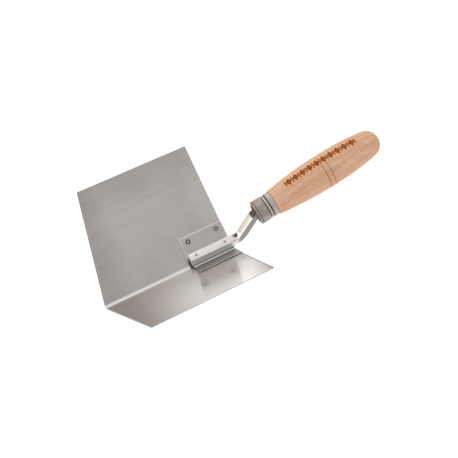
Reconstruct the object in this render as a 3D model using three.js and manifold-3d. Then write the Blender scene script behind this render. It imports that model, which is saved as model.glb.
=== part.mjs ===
// Inside corner trowel: a bent stainless blade, a pressed bracket welded inside
// its corner, a square-bar shank with a gooseneck, a steel ferrule and a turned
// beech handle.
//
// The trowel is drawn in its own symmetric frame and then laid on a bench.
// Symmetric frame, in millimetres: X runs along the blade's spine from its front
// end towards the handle, Z runs along the bisector of the two leaves on the
// hollow side, and Y runs across, towards the leaf that lies on the bench.
// The line Y = Z = 0 is where the inner faces of the two leaves would meet.

import * as THREE from 'three';
import { mergeVertices } from 'three/addons/utils/BufferGeometryUtils.js';
import Module from 'manifold-3d';

const wasm = await Module();
wasm.setup();

// ---- Driving dimensions ----

const GAP = 0.3; // clearance left between pieces that touch

// Blade: one sheet folded along its spine
const LEAF_ANGLE = THREE.MathUtils.degToRad(105);
const SPINE_LENGTH = 140;
const LEAF_WIDTH = 114;
const FRONT_SLANT = 22; // how far a leaf's outer corner stands back from the spine's front end
const BLADE_SHEET = 0.8;
const FOLD_RADIUS = 3; // on the hollow side

// Bracket: a pressed saddle with a flat crest and a flange on each leaf
const BRACKET_LENGTH = 46.5;
const BRACKET_SHEET = 0.9;
const BRACKET_REACH = 30.6; // from the spine line to a flange's outer edge
const CREST_HEIGHT = 7.1; // outer face of the crest above the spine line
const BRACKET_BEND_RADIUS = 1; // on the underside
const WELD_RADIUS = 2.1;
const WELD_INSET = 7.4; // from either end of the bracket to a weld
const WELD_REACH = 24.6; // from the spine line to a flange weld

// Shank: square bar, with a foot on the bracket, a gooseneck and a tang
const BAR_HEIGHT = 7.6;
const FOOT_WIDTH = 9.4;
const NECK_WIDTH = 8.4;
const WAIST_START = 2; // past the blade's end, where the foot's width starts to narrow
const WAIST_END = 5;
const NECK_RISE = THREE.MathUtils.degToRad(50.3);
const HANDLE_RISE = THREE.MathUtils.degToRad(11.2);
const NECK_CORNER_X = 148.6; // where the centre lines of foot and neck cross
const LOWER_BEND = { top: 9, bottom: 22 }; // radii of the bar's two long edges
const UPPER_BEND = { top: 16, bottom: 3 };
const TANG_LENGTH = 78;
const TANG_TIP_HEIGHT = 3.2;
const TANG_TIP_WIDTH = 3.6;

// Handle and ferrule, measured along the handle's axis from the ferrule's mouth
const MOUTH_X = 169.3;
const MOUTH_Z = 34.5;
const FERRULE_LENGTH = 20.6;
const FERRULE_RADIUS = 12.35;
const FERRULE_BORE_RADIUS = 10.8;
const MOUTH_ROUND = 1.6;
const GROOVE_START = 10.6;
const GROOVE_END = 14.6;
const GROOVE_DEPTH = 0.8;
const GROOVE_SLOPE = 0.5; // length of each of the groove's slanted walls
const LIP_LENGTH = 1.3;
const LIP_RADIUS = 10;
const WASHER_THICKNESS = 1.2;

// Wood: it leaves the ferrule at the neck, swells to the belly, falls to the shoulder and
// ends in a dome. Each lead is how far a curve follows its end's tangent, as (along, radius).
const NECK_RADIUS = 13;
const NECK_LEAD = new THREE.Vector2(19.6, 2.9);
const BELLY_AT = 83;
const BELLY_RADIUS = 17.6;
const BELLY_LEAD_BEFORE = 24.6;
const BELLY_LEAD_AFTER = 20;
const SHOULDER_AT = 132;
const SHOULDER_RADIUS = 14.2;
const SHOULDER_LEAD = new THREE.Vector2(-15, 2.4);
const DOME_LEAD = new THREE.Vector2(6.3, -1);
const DOME_CROWN = 9.2; // radius over which the dome's end is nearly flat
const HANDLE_END = 144.5;
const SCORE_LINES = [77.8, 83.5];
const SCORE_DEPTH = 0.4;

// Fineness of the curves
const ROUND_SEGMENTS = 48;
const WELD_SEGMENTS = 24;
const ARC_SEGMENTS = 6;
const OUTLINE_SEGMENTS = 7;

// ---- Derived positions ----

const HALF_ANGLE = LEAF_ANGLE / 2;
const LEAF_TILT = Math.PI / 2 - HALF_ANGLE; // each leaf's rise above the Y axis
const BRACKET_FRONT = SPINE_LENGTH - BRACKET_LENGTH;
const WELD_STATIONS = [BRACKET_FRONT + WELD_INSET, SPINE_LENGTH - WELD_INSET];
const FOOT_BOTTOM = CREST_HEIGHT + GAP;
const FOOT_TOP = FOOT_BOTTOM + BAR_HEIGHT;
const SPIGOT_START = LIP_LENGTH + GAP + WASHER_THICKNESS + GAP;
const SPIGOT_RADIUS = FERRULE_BORE_RADIUS - GAP;
const WOOD_START = FERRULE_LENGTH + GAP;
const SPARE = 2; // how far a cutting body reaches past what it cuts

// ---- Materials ----

const steel = (color, roughness) =>
  new THREE.MeshStandardMaterial({ color, roughness, metalness: 1 });

const brushedStainless = steel(0xa8a39c, 0.38);
const pressedStainless = steel(0xa5a5a1, 0.45);
const polishedBar = steel(0xd6d0c6, 0.25);
const satinSteel = steel(0x9b948d, 0.4);
const weldMetal = steel(0x8a7f74, 0.55);
const beech = new THREE.MeshStandardMaterial({ color: 0xdeb491, roughness: 0.6, metalness: 0 });

// ---- Helpers ----

/** Turns a closed three.js geometry into a manifold-3d solid. */
function toSolid(geometry) {
  const bare = geometry.clone();
  bare.deleteAttribute('normal');
  bare.deleteAttribute('uv');
  const merged = mergeVertices(bare, 1e-4);
  return new wasm.Manifold(new wasm.Mesh({
    numProp: 3,
    vertProperties: new Float32Array(merged.attributes.position.array),
    triVerts: new Uint32Array(merged.index.array),
  }));
}

/** Turns a manifold-3d solid back into a three.js geometry. */
function toGeometry(solid) {
  const { vertProperties, triVerts } = solid.getMesh();
  const geometry = new THREE.BufferGeometry();
  geometry.setAttribute('position', new THREE.BufferAttribute(vertProperties, 3));
  geometry.setIndex(new THREE.BufferAttribute(triVerts, 1));
  const faceted = geometry.toNonIndexed();
  faceted.computeVertexNormals();
  return faceted;
}

/** A named mesh in one material. */
function piece(name, geometry, material) {
  const mesh = new THREE.Mesh(geometry, material);
  mesh.name = name;
  return mesh;
}

/** A point on one leaf: `along` from the spine line, `above` the inner face; side is 1 or -1. */
function onLeaf(along, above, side = 1) {
  return new THREE.Vector2(
    side * (along * Math.cos(LEAF_TILT) - above * Math.sin(LEAF_TILT)),
    along * Math.sin(LEAF_TILT) + above * Math.cos(LEAF_TILT),
  );
}

/** An extrusion along X of an outline drawn as (Y, Z), from x = start to x = end. */
function extrudeAlongX(outline, start, end) {
  const geometry = new THREE.ExtrudeGeometry(outline, {
    depth: end - start,
    bevelEnabled: false,
    curveSegments: ARC_SEGMENTS,
  });
  const basis = new THREE.Matrix4().makeBasis(
    new THREE.Vector3(0, 1, 0),
    new THREE.Vector3(0, 0, 1),
    new THREE.Vector3(1, 0, 0),
  );
  return geometry.applyMatrix4(basis).translate(start, 0, 0);
}

/** An extrusion across Y, centred, of an outline drawn as (X, Z). */
function extrudeAcross(outline, width) {
  const geometry = new THREE.ExtrudeGeometry(outline, {
    depth: width,
    bevelEnabled: false,
    curveSegments: ARC_SEGMENTS,
  });
  return geometry.rotateX(Math.PI / 2).translate(0, width / 2, 0);
}

/** A cylinder from one point to another. */
function rod(radius, from, to) {
  const direction = new THREE.Vector3().subVectors(to, from);
  const geometry = new THREE.CylinderGeometry(radius, radius, direction.length(), WELD_SEGMENTS);
  const turn = new THREE.Quaternion().setFromUnitVectors(
    new THREE.Vector3(0, 1, 0),
    direction.clone().normalize(),
  );
  const middle = new THREE.Vector3().addVectors(from, to).multiplyScalar(0.5);
  return geometry.applyQuaternion(turn).translate(middle.x, middle.y, middle.z);
}

/**
 * Rounds the corners of an open path with tangent arcs.
 * Each corner is { at: Vector2, radius }; a radius of 0 leaves it sharp.
 */
function roundedPath(corners) {
  const points = [];
  corners.forEach(({ at, radius = 0 }, i) => {
    const before = corners[i - 1]?.at;
    const after = corners[i + 1]?.at;
    if (!radius || !before || !after) {
      points.push(at.clone());
      return;
    }
    const back = before.clone().sub(at).normalize();
    const ahead = after.clone().sub(at).normalize();
    const halfCorner = Math.acos(THREE.MathUtils.clamp(back.dot(ahead), -1, 1)) / 2;
    const trim = radius / Math.tan(halfCorner);
    const centre = at.clone().add(
      back.clone().add(ahead).normalize().multiplyScalar(radius / Math.sin(halfCorner)),
    );
    const first = at.clone().addScaledVector(back, trim).sub(centre);
    const last = at.clone().addScaledVector(ahead, trim).sub(centre);
    const sweep = Math.atan2(first.cross(last), first.dot(last));
    for (let step = 0; step <= ARC_SEGMENTS; step += 1) {
      const arm = first.clone().rotateAround(new THREE.Vector2(), (sweep * step) / ARC_SEGMENTS);
      points.push(centre.clone().add(arm));
    }
  });
  return points;
}

/** Where two lines cross, each given by a point and a slope angle. */
function crossing(pointA, angleA, pointB, angleB) {
  const a = new THREE.Vector2(Math.cos(angleA), Math.sin(angleA));
  const b = new THREE.Vector2(Math.cos(angleB), Math.sin(angleB));
  const reach = pointB.clone().sub(pointA).cross(b) / a.cross(b);
  return pointA.clone().addScaledVector(a, reach);
}

// ---- Blade ----

/** The folded sheet's section: two leaves joined by a rounded fold. */
function bladeSection() {
  const inner = roundedPath([
    { at: onLeaf(LEAF_WIDTH, 0) },
    { at: onLeaf(0, 0), radius: FOLD_RADIUS },
    { at: onLeaf(LEAF_WIDTH, 0, -1) },
  ]);
  const outerCorner = new THREE.Vector2(0, -BLADE_SHEET / Math.cos(LEAF_TILT));
  const outer = roundedPath([
    { at: onLeaf(LEAF_WIDTH, -BLADE_SHEET, -1) },
    { at: outerCorner, radius: FOLD_RADIUS + BLADE_SHEET },
    { at: onLeaf(LEAF_WIDTH, -BLADE_SHEET) },
  ]);
  return new THREE.Shape([...inner, ...outer]);
}

/** The wedge of sheet that is sheared off a leaf's front edge. */
function frontOffcut(side) {
  const offcut = new THREE.Shape([
    new THREE.Vector2(0, 0),
    new THREE.Vector2(FRONT_SLANT, LEAF_WIDTH),
    new THREE.Vector2(FRONT_SLANT * (1 + SPARE / LEAF_WIDTH), LEAF_WIDTH + SPARE),
    new THREE.Vector2(-SPARE, LEAF_WIDTH + SPARE),
    new THREE.Vector2(-SPARE, 0),
  ]);
  const depth = BLADE_SHEET + 2 * SPARE;
  const geometry = new THREE.ExtrudeGeometry(offcut, { depth, bevelEnabled: false });
  const across = onLeaf(1, 0, side);
  const normal = onLeaf(0, 1, side);
  // A mirrored basis would turn the faces inwards, so the second leaf's cutter points down
  const basis = new THREE.Matrix4().makeBasis(
    new THREE.Vector3(1, 0, 0),
    new THREE.Vector3(0, across.x, across.y),
    new THREE.Vector3(0, side * normal.x, side * normal.y),
  );
  const middle = side * (-BLADE_SHEET / 2) - depth / 2;
  return geometry.translate(0, 0, middle).applyMatrix4(basis);
}

function makeBlade() {
  const sheet = toSolid(extrudeAlongX(bladeSection(), 0, SPINE_LENGTH));
  const trimmed = [1, -1].reduce((body, side) => body.subtract(toSolid(frontOffcut(side))), sheet);
  return piece('blade', toGeometry(trimmed), brushedStainless);
}

// ---- Bracket ----

/** Half the crest's width at a height, where it meets a flange face `above` the leaf. */
function crestHalfWidth(height, above) {
  return (height * Math.cos(LEAF_TILT) - above) / Math.sin(LEAF_TILT);
}

/** One face of the saddle, from one flange edge over the crest to the other. */
function saddleFace(above, crest, radius) {
  const half = crestHalfWidth(crest, above);
  return roundedPath([
    { at: onLeaf(BRACKET_REACH, above) },
    { at: new THREE.Vector2(half, crest), radius },
    { at: new THREE.Vector2(-half, crest), radius },
    { at: onLeaf(BRACKET_REACH, above, -1) },
  ]);
}

function makeBracket() {
  const upper = saddleFace(GAP + BRACKET_SHEET, CREST_HEIGHT, BRACKET_BEND_RADIUS);
  const under = saddleFace(GAP, CREST_HEIGHT - BRACKET_SHEET, BRACKET_BEND_RADIUS + BRACKET_SHEET);
  const section = new THREE.Shape([...upper, ...under.reverse()]);
  const saddle = toSolid(extrudeAlongX(section, BRACKET_FRONT, SPINE_LENGTH));
  const holes = weldSites().map(({ from, to }) => {
    const beyond = new THREE.Vector3().subVectors(to, from).normalize();
    return toSolid(rod(
      WELD_RADIUS + GAP,
      from.clone().sub(beyond),
      to.clone().add(beyond),
    ));
  });
  const drilled = holes.reduce((body, hole) => body.subtract(hole), saddle);
  return piece('mounting_bracket', toGeometry(drilled), pressedStainless);
}

// ---- Welds ----

/** Each weld's name and its ends: two through each flange and two under the foot. */
function weldSites() {
  const stations = ['front', 'rear'];
  return stations.flatMap((station, i) => {
    const x = WELD_STATIONS[i];
    const flange = (leaf, side) => {
      const low = onLeaf(WELD_REACH, GAP, side);
      const high = onLeaf(WELD_REACH, GAP + BRACKET_SHEET, side);
      return {
        name: `weld_${leaf}_${station}`,
        from: new THREE.Vector3(x, low.x, low.y),
        to: new THREE.Vector3(x, high.x, high.y),
      };
    };
    const foot = {
      name: `weld_foot_${station}`,
      from: new THREE.Vector3(x, 0, CREST_HEIGHT - BRACKET_SHEET),
      to: new THREE.Vector3(x, 0, FOOT_BOTTOM + BRACKET_SHEET),
    };
    return [flange('first_leaf', 1), flange('second_leaf', -1), foot];
  });
}

function makeWelds() {
  return weldSites().map(({ name, from, to }) => piece(name, rod(WELD_RADIUS, from, to), weldMetal));
}

// ---- Handle axis ----

const handleDirection = new THREE.Vector2(Math.cos(HANDLE_RISE), Math.sin(HANDLE_RISE));
const handleNormal = new THREE.Vector2(-Math.sin(HANDLE_RISE), Math.cos(HANDLE_RISE));

/** The point `along` the handle's axis from the ferrule's mouth and `above` it, as (X, Z). */
function onHandleAxis(along, above = 0) {
  return new THREE.Vector2(MOUTH_X, MOUTH_Z)
    .addScaledVector(handleDirection, along)
    .addScaledVector(handleNormal, above);
}

/** A group whose own X axis is the handle's axis, starting at the ferrule's mouth. */
function makeHandleGroup() {
  const group = new THREE.Group();
  group.position.set(MOUTH_X, 0, MOUTH_Z);
  group.rotation.y = -HANDLE_RISE;
  return group;
}

/** A turned piece about the X axis; the profile is a list of (along, radius). */
function turned(profile) {
  const points = profile.map(([along, radius]) => new THREE.Vector2(radius, along));
  const geometry = new THREE.LatheGeometry(points, ROUND_SEGMENTS);
  return geometry.rotateZ(-Math.PI / 2);
}

// ---- Shank ----

/** The bar's side view: foot, gooseneck and a tang that tapers in height. */
function shankSideOutline() {
  const half = BAR_HEIGHT / 2;
  const neckPoint = new THREE.Vector2(NECK_CORNER_X, FOOT_BOTTOM + half);
  const neckNormal = new THREE.Vector2(-Math.sin(NECK_RISE), Math.cos(NECK_RISE));
  const longEdge = (sign, lowerRadius, upperRadius) => {
    const offset = sign * half;
    const footEdge = new THREE.Vector2(BRACKET_FRONT, FOOT_BOTTOM + half + offset);
    const neckEdge = neckPoint.clone().addScaledVector(neckNormal, offset);
    const tangEdge = onHandleAxis(0, offset);
    return roundedPath([
      { at: footEdge },
      { at: crossing(footEdge, 0, neckEdge, NECK_RISE), radius: lowerRadius },
      { at: crossing(neckEdge, NECK_RISE, tangEdge, HANDLE_RISE), radius: upperRadius },
      { at: onHandleAxis(SPIGOT_START, offset) },
      { at: onHandleAxis(TANG_LENGTH, sign * (TANG_TIP_HEIGHT / 2)) },
    ]);
  };
  const top = longEdge(1, LOWER_BEND.top, UPPER_BEND.top);
  const bottom = longEdge(-1, LOWER_BEND.bottom, UPPER_BEND.bottom);
  return new THREE.Shape([...bottom, ...top.reverse()]);
}

/** The bar's half width along X: the foot, the slimmer neck and the tapering tang. */
function shankPlanOutline() {
  const stations = [
    [BRACKET_FRONT - SPARE, FOOT_WIDTH],
    [SPINE_LENGTH + WAIST_START, FOOT_WIDTH],
    [SPINE_LENGTH + WAIST_END, NECK_WIDTH],
    [onHandleAxis(SPIGOT_START).x, NECK_WIDTH],
    [onHandleAxis(TANG_LENGTH).x + SPARE, TANG_TIP_WIDTH],
  ];
  const near = stations.map(([x, width]) => new THREE.Vector2(x, width / 2));
  const far = stations.map(([x, width]) => new THREE.Vector2(x, -width / 2)).reverse();
  return new THREE.Shape([...far, ...near].reverse());
}

function makeShank() {
  const depth = onHandleAxis(TANG_LENGTH, BAR_HEIGHT).y + SPARE;
  const plan = new THREE.ExtrudeGeometry(shankPlanOutline(), { depth, bevelEnabled: false });
  const side = extrudeAcross(shankSideOutline(), FOOT_WIDTH + 2 * SPARE);
  const bar = toSolid(side).intersect(toSolid(plan));
  const pockets = weldSites()
    .filter(({ name }) => name.includes('foot'))
    .map(({ from, to }) => {
      const roof = to.clone().setZ(to.z + GAP);
      return toSolid(rod(WELD_RADIUS + GAP, from, roof));
    });
  const finished = pockets.reduce((body, pocket) => body.subtract(pocket), bar);
  return piece('shank', toGeometry(finished), polishedBar);
}

// ---- Ferrule, washer and handle, in the handle's own group ----

/** The space that the tang needs, as a tapering four-sided spike about the X axis. */
function tangSpace() {
  const stations = [-SPARE, SPIGOT_START, TANG_LENGTH + GAP];
  const tapered = (full, tip) => {
    const lean = (full - tip) / 2 / (TANG_LENGTH - SPIGOT_START);
    const half = (x) => full / 2 + GAP - lean * Math.max(0, x - SPIGOT_START);
    return new THREE.Shape([
      ...stations.map((x) => new THREE.Vector2(x, -half(x))),
      ...stations.map((x) => new THREE.Vector2(x, half(x))).reverse(),
    ]);
  };
  const depth = 2 * BAR_HEIGHT;
  const side = extrudeAcross(tapered(BAR_HEIGHT, TANG_TIP_HEIGHT), depth);
  const plan = new THREE.ExtrudeGeometry(tapered(NECK_WIDTH, TANG_TIP_WIDTH), {
    depth,
    bevelEnabled: false,
  });
  return toSolid(side).intersect(toSolid(plan.translate(0, 0, -depth / 2)));
}

/** The ferrule: a rolled mouth, a drum, a crimped groove and a rear collar. */
function makeFerrule() {
  const mouth = new THREE.EllipseCurve(
    MOUTH_ROUND,
    FERRULE_RADIUS - MOUTH_ROUND,
    MOUTH_ROUND,
    MOUTH_ROUND,
    Math.PI,
    Math.PI / 2,
    true,
  );
  const grooveRadius = FERRULE_RADIUS - GROOVE_DEPTH;
  return piece('ferrule', turned([
    [LIP_LENGTH, FERRULE_BORE_RADIUS],
    [LIP_LENGTH, LIP_RADIUS],
    [0, LIP_RADIUS],
    ...mouth.getPoints(ARC_SEGMENTS).map(({ x, y }) => [x, y]),
    [GROOVE_START, FERRULE_RADIUS],
    [GROOVE_START + GROOVE_SLOPE, grooveRadius],
    [GROOVE_END - GROOVE_SLOPE, grooveRadius],
    [GROOVE_END, FERRULE_RADIUS],
    [FERRULE_LENGTH, FERRULE_RADIUS],
    [FERRULE_LENGTH, FERRULE_BORE_RADIUS],
    [LIP_LENGTH, FERRULE_BORE_RADIUS],
  ]), satinSteel);
}

/** The disc behind the ferrule's mouth that the tang passes through. */
function makeFerruleWasher() {
  const start = LIP_LENGTH + GAP;
  const disc = turned([
    [start, 0],
    [start, SPIGOT_RADIUS],
    [start + WASHER_THICKNESS, SPIGOT_RADIUS],
    [start + WASHER_THICKNESS, 0],
  ]);
  return piece('ferrule_washer', toGeometry(toSolid(disc).subtract(tangSpace())), satinSteel);
}

/** The wood's outline from the ferrule to the middle of the butt, as (along, radius). */
function woodOutline() {
  const neck = new THREE.Vector2(WOOD_START, NECK_RADIUS);
  const belly = new THREE.Vector2(BELLY_AT, BELLY_RADIUS);
  const shoulder = new THREE.Vector2(SHOULDER_AT, SHOULDER_RADIUS);
  const swell = new THREE.CubicBezierCurve(
    neck,
    neck.clone().add(NECK_LEAD),
    new THREE.Vector2(BELLY_AT - BELLY_LEAD_BEFORE, BELLY_RADIUS),
    belly,
  );
  const fall = new THREE.CubicBezierCurve(
    belly,
    new THREE.Vector2(BELLY_AT + BELLY_LEAD_AFTER, BELLY_RADIUS),
    shoulder.clone().add(SHOULDER_LEAD),
    shoulder,
  );
  const dome = new THREE.CubicBezierCurve(
    shoulder,
    shoulder.clone().add(DOME_LEAD),
    new THREE.Vector2(HANDLE_END, DOME_CROWN),
    new THREE.Vector2(HANDLE_END, 0),
  );
  return [
    ...swell.getPoints(OUTLINE_SEGMENTS),
    ...fall.getPoints(OUTLINE_SEGMENTS).slice(1),
    ...dome.getPoints(OUTLINE_SEGMENTS).slice(1),
  ];
}

/** Cuts V-shaped scored lines into an outline of (along, radius) points. */
function scored(outline) {
  const radiusAt = (along) => {
    const next = outline.findIndex(({ x }) => x > along);
    const [before, after] = [outline[next - 1], outline[next]];
    return THREE.MathUtils.mapLinear(along, before.x, after.x, before.y, after.y);
  };
  const inNotch = ({ x }) => SCORE_LINES.some((at) => Math.abs(x - at) <= SCORE_DEPTH);
  const notches = SCORE_LINES.flatMap((at) => [-1, 0, 1].map((step) => {
    const along = at + step * SCORE_DEPTH;
    return new THREE.Vector2(along, radiusAt(along) - (step === 0 ? SCORE_DEPTH : 0));
  }));
  const kept = outline.filter((point) => !inNotch(point));
  return [...kept, ...notches].sort((a, b) => a.x - b.x || b.y - a.y);
}

/** The beech handle: a spigot in the ferrule, a swelling grip and a domed butt. */
function makeHandle() {
  const blank = turned([
    [SPIGOT_START, 0],
    [SPIGOT_START, SPIGOT_RADIUS],
    [WOOD_START, SPIGOT_RADIUS],
    ...scored(woodOutline()).map(({ x, y }) => [x, y]),
  ]);
  return piece('handle', toGeometry(toSolid(blank).subtract(tangSpace())), beech);
}

// ---- Assembly ----

const handleGroup = makeHandleGroup();
handleGroup.add(makeFerrule(), makeFerruleWasher(), makeHandle());

const trowel = new THREE.Group();
trowel.add(makeBlade(), makeBracket(), makeShank(), ...makeWelds(), handleGroup);

// The first leaf lies flat, and the origin is on the bench under the middle of the trowel
trowel.rotation.x = -LEAF_TILT;
trowel.updateMatrixWorld(true);
const extent = new THREE.Box3().setFromObject(trowel, true);
const middle = extent.getCenter(new THREE.Vector3());
trowel.position.set(-middle.x, -middle.y, -extent.min.z);

export default trowel;
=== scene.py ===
"""The looks of an inside corner trowel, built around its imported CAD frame.

The trowel has a folded stainless blade, a pressed bracket spot-welded into its corner, a
square-bar shank with a gooseneck, a steel ferrule and a turned beech handle. Every piece is
drawn in millimetres in the trowel's own frame and then placed on the bench in metres.
"""

import logging
import math
from dataclasses import dataclass, field
from enum import Enum
from typing import Any, Callable, Mapping, Sequence, Union

import bmesh
import bpy
from mathutils import Matrix, Vector


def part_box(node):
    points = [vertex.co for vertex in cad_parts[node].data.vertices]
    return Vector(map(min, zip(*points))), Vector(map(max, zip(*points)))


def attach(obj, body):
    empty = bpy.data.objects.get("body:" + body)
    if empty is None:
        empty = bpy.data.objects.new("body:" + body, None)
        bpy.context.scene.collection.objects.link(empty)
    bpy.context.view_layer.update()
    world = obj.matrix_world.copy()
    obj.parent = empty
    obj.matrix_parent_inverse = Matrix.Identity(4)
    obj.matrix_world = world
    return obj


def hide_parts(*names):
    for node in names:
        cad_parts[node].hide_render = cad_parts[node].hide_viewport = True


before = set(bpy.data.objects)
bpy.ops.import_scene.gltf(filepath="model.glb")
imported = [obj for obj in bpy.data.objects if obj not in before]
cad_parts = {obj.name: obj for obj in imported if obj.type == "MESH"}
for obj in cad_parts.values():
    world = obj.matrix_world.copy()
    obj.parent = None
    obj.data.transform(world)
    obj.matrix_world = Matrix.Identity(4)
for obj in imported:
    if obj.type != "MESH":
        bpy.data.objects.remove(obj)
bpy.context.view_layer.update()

LOG = logging.getLogger("trowel")

MM = 0.001
BODY = "root"
GAP = 0.3  # clearance that the CAD frame leaves between touching pieces
CORNER_STEPS = 4  # facets on a small rounded corner
CREASE = 40.0  # an edge that turns more degrees than this stays sharp to the eye
STRAIGHT = 0.99  # an edge runs along an axis if this share of its length does
SAME = 1e-6  # points that are nearer together than this, in metres, are one point

# The driving dimensions, in millimetres and degrees of the trowel's own frame.
LEAF_ANGLE = 105.0
LEAF_TILT = math.radians(90 - LEAF_ANGLE / 2)
LEAF_WIDTH = 114.0
LEAF_SHEET = 0.8
SPINE = 140.0
BRACKET_START = 93.5
BRACKET_REACH = 30.6
BRACKET_SHEET = 0.9
CREST = 7.1
TANG_START = 3.1

Colour = tuple[float, float, float]
Point2 = tuple[float, float]
Point3 = tuple[float, float, float]
Profile = Sequence[Point2]


# ---- Curves and meshes ----


@dataclass(frozen=True)
class Corner:
    """A corner of an open path, rounded by an arc that is tangent to both sides."""

    at: Point2
    radius: float = 0.0


def rounded_path(corners: Sequence[Corner], steps: int = 12) -> list[Vector]:
    """Rounds the corners of an open path.

    Args:
        corners: The path's corners in order; a radius of 0 keeps a corner sharp.
        steps: How many straight pieces stand for one arc.

    Returns:
        The points of the rounded path.
    """
    points: list[Vector] = []
    for index, corner in enumerate(corners):
        at = Vector(corner.at)
        if corner.radius == 0 or index in (0, len(corners) - 1):
            points.append(at)
            continue
        back = (Vector(corners[index - 1].at) - at).normalized()
        ahead = (Vector(corners[index + 1].at) - at).normalized()
        half = back.angle(ahead) / 2
        centre = at + (back + ahead).normalized() * corner.radius / math.sin(half)
        first = at + back * corner.radius / math.tan(half) - centre
        last = at + ahead * corner.radius / math.tan(half) - centre
        sweep = math.atan2(first.x * last.y - first.y * last.x, first.dot(last))
        for step in range(steps + 1):
            angle = sweep * step / steps
            cos, sin = math.cos(angle), math.sin(angle)
            arm = Vector((first.x * cos - first.y * sin, first.x * sin + first.y * cos))
            points.append(centre + arm)
    return points


def bezier(ends: tuple[Point2, Point2], leads: tuple[Point2, Point2], steps: int) -> list[Point2]:
    """Samples a cubic curve.

    Args:
        ends: The curve's first and last points.
        leads: How far each end's control point stands from it.
        steps: How many straight pieces stand for the curve.

    Returns:
        The points on the curve, both ends included.
    """
    controls = [Vector(ends[0]), Vector(ends[0]) + Vector(leads[0])]
    controls += [Vector(ends[1]) + Vector(leads[1]), Vector(ends[1])]
    points = []
    for step in range(steps + 1):
        t = step / steps
        weights = ((1 - t) ** 3, 3 * t * (1 - t) ** 2, 3 * t * t * (1 - t), t**3)
        point = sum((c * w for c, w in zip(controls, weights)), Vector((0.0, 0.0)))
        points.append((point.x, point.y))
    return points


def crossing(point_a: Vector, angle_a: float, point_b: Vector, angle_b: float) -> Vector:
    """Finds where two lines cross.

    Args:
        point_a: A point on the first line.
        angle_a: The first line's slope angle.
        point_b: A point on the second line.
        angle_b: The second line's slope angle.

    Returns:
        The crossing point.
    """
    a = Vector((math.cos(angle_a), math.sin(angle_a)))
    b = Vector((math.cos(angle_b), math.sin(angle_b)))
    gap = point_b - point_a
    return point_a + a * (gap.x * b.y - gap.y * b.x) / (a.x * b.y - a.y * b.x)


class Shell:
    """A mesh under construction, in millimetres of some local frame."""

    def __init__(self) -> None:
        """Starts empty."""
        self.mesh = bmesh.new()

    def ring(self, points: Sequence[Vector]) -> list[bmesh.types.BMVert]:
        """Adds one vertex per point and returns them."""
        return [self.mesh.verts.new(point) for point in points]

    def bridge(self, first: Sequence, second: Sequence, closed: bool = True) -> None:
        """Joins two rings with a strip of faces.

        Args:
            first: The vertices of one ring; a single vertex makes a fan.
            second: The vertices of the other ring.
            closed: Whether the rings close on themselves.
        """
        count = max(len(first), len(second))
        for index in range(count if closed else count - 1):
            after = (index + 1) % count
            corners = [first[index % len(first)], first[after % len(first)]]
            corners += [second[after % len(second)], second[index % len(second)]]
            self.mesh.faces.new(list(dict.fromkeys(corners)))

    def cap(self, ring: Sequence) -> None:
        """Closes a ring with one flat face."""
        self.mesh.faces.new(ring)

    def round_edges(self, chosen: Callable[[Any], bool], radius: float, steps: int) -> None:
        """Rounds some edges.

        Args:
            chosen: Says whether an edge is rounded.
            radius: How far the rounding reaches from the edge.
            steps: How many facets stand for the rounding.
        """
        edges = [edge for edge in self.mesh.edges if chosen(edge)]
        bmesh.ops.bevel(
            self.mesh, geom=edges, offset=radius, segments=steps, profile=0.5, affect="EDGES"
        )

    def place(self, name: str, frame_matrix: Matrix) -> bpy.types.Object:
        """Turns the shell into an object whose place is in its mesh.

        Args:
            name: The object's name.
            frame_matrix: Takes local millimetres to bench metres.

        Returns:
            The new object, at the origin and linked to the scene.
        """
        bmesh.ops.recalc_face_normals(self.mesh, faces=self.mesh.faces)
        self.mesh.transform(frame_matrix)
        data = bpy.data.meshes.new(name)
        self.mesh.to_mesh(data)
        self.mesh.free()
        made = bpy.data.objects.new(name, data)
        bpy.context.scene.collection.objects.link(made)
        return made


def lathe(profile: Profile, sides: int, closed: bool = False) -> Shell:
    """Turns a profile about the local X axis.

    Args:
        profile: Points (along, radius); a radius of 0 makes a pole.
        sides: How many facets go round.
        closed: Whether the last point joins the first, as on a ring.

    Returns:
        The turned shell.
    """
    shell = Shell()
    rings = []
    for along, radius in profile:
        if radius == 0:
            rings.append(shell.ring([Vector((along, 0, 0))]))
            continue
        angles = [math.tau * side / sides for side in range(sides)]
        rings.append(shell.ring([
            Vector((along, radius * math.cos(angle), radius * math.sin(angle)))
            for angle in angles
        ]))
    for first, second in zip(rings, rings[1:]):
        shell.bridge(first, second)
    if closed:
        shell.bridge(rings[-1], rings[0])
    return shell


def extrude_along_x(outline: Sequence[Vector], start: float, end: float) -> Shell:
    """Extrudes an outline along the local X axis.

    Args:
        outline: The closed outline's (Y, Z) points.
        start: Where it starts.
        end: Where it ends.

    Returns:
        The extruded shell.
    """
    shell = Shell()
    near, far = (
        shell.ring([Vector((x, point.x, point.y)) for point in outline]) for x in (start, end)
    )
    shell.bridge(near, far)
    shell.cap(near)
    shell.cap(far)
    return shell


def runs_along_x(edge: bmesh.types.BMEdge) -> bool:
    """Says whether an edge runs along the local X axis."""
    run = edge.verts[1].co - edge.verts[0].co
    return abs(run.x) > STRAIGHT * run.length


def carry(made: bpy.types.Object, name: str, values: Sequence[float]) -> None:
    """Makes a piece's mesh carry a number for each of its points."""
    attribute = made.data.attributes.new(name, "FLOAT", "POINT")
    attribute.data.foreach_set("value", values)


def apply_modifiers(made: bpy.types.Object) -> None:
    """Replaces a piece's mesh with its evaluated mesh and drops its modifiers.

    Args:
        made: The piece.
    """
    bpy.context.view_layer.update()
    evaluated = made.evaluated_get(bpy.context.evaluated_depsgraph_get())
    data = bpy.data.meshes.new_from_object(evaluated)
    made.modifiers.clear()
    made.data = data


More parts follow.
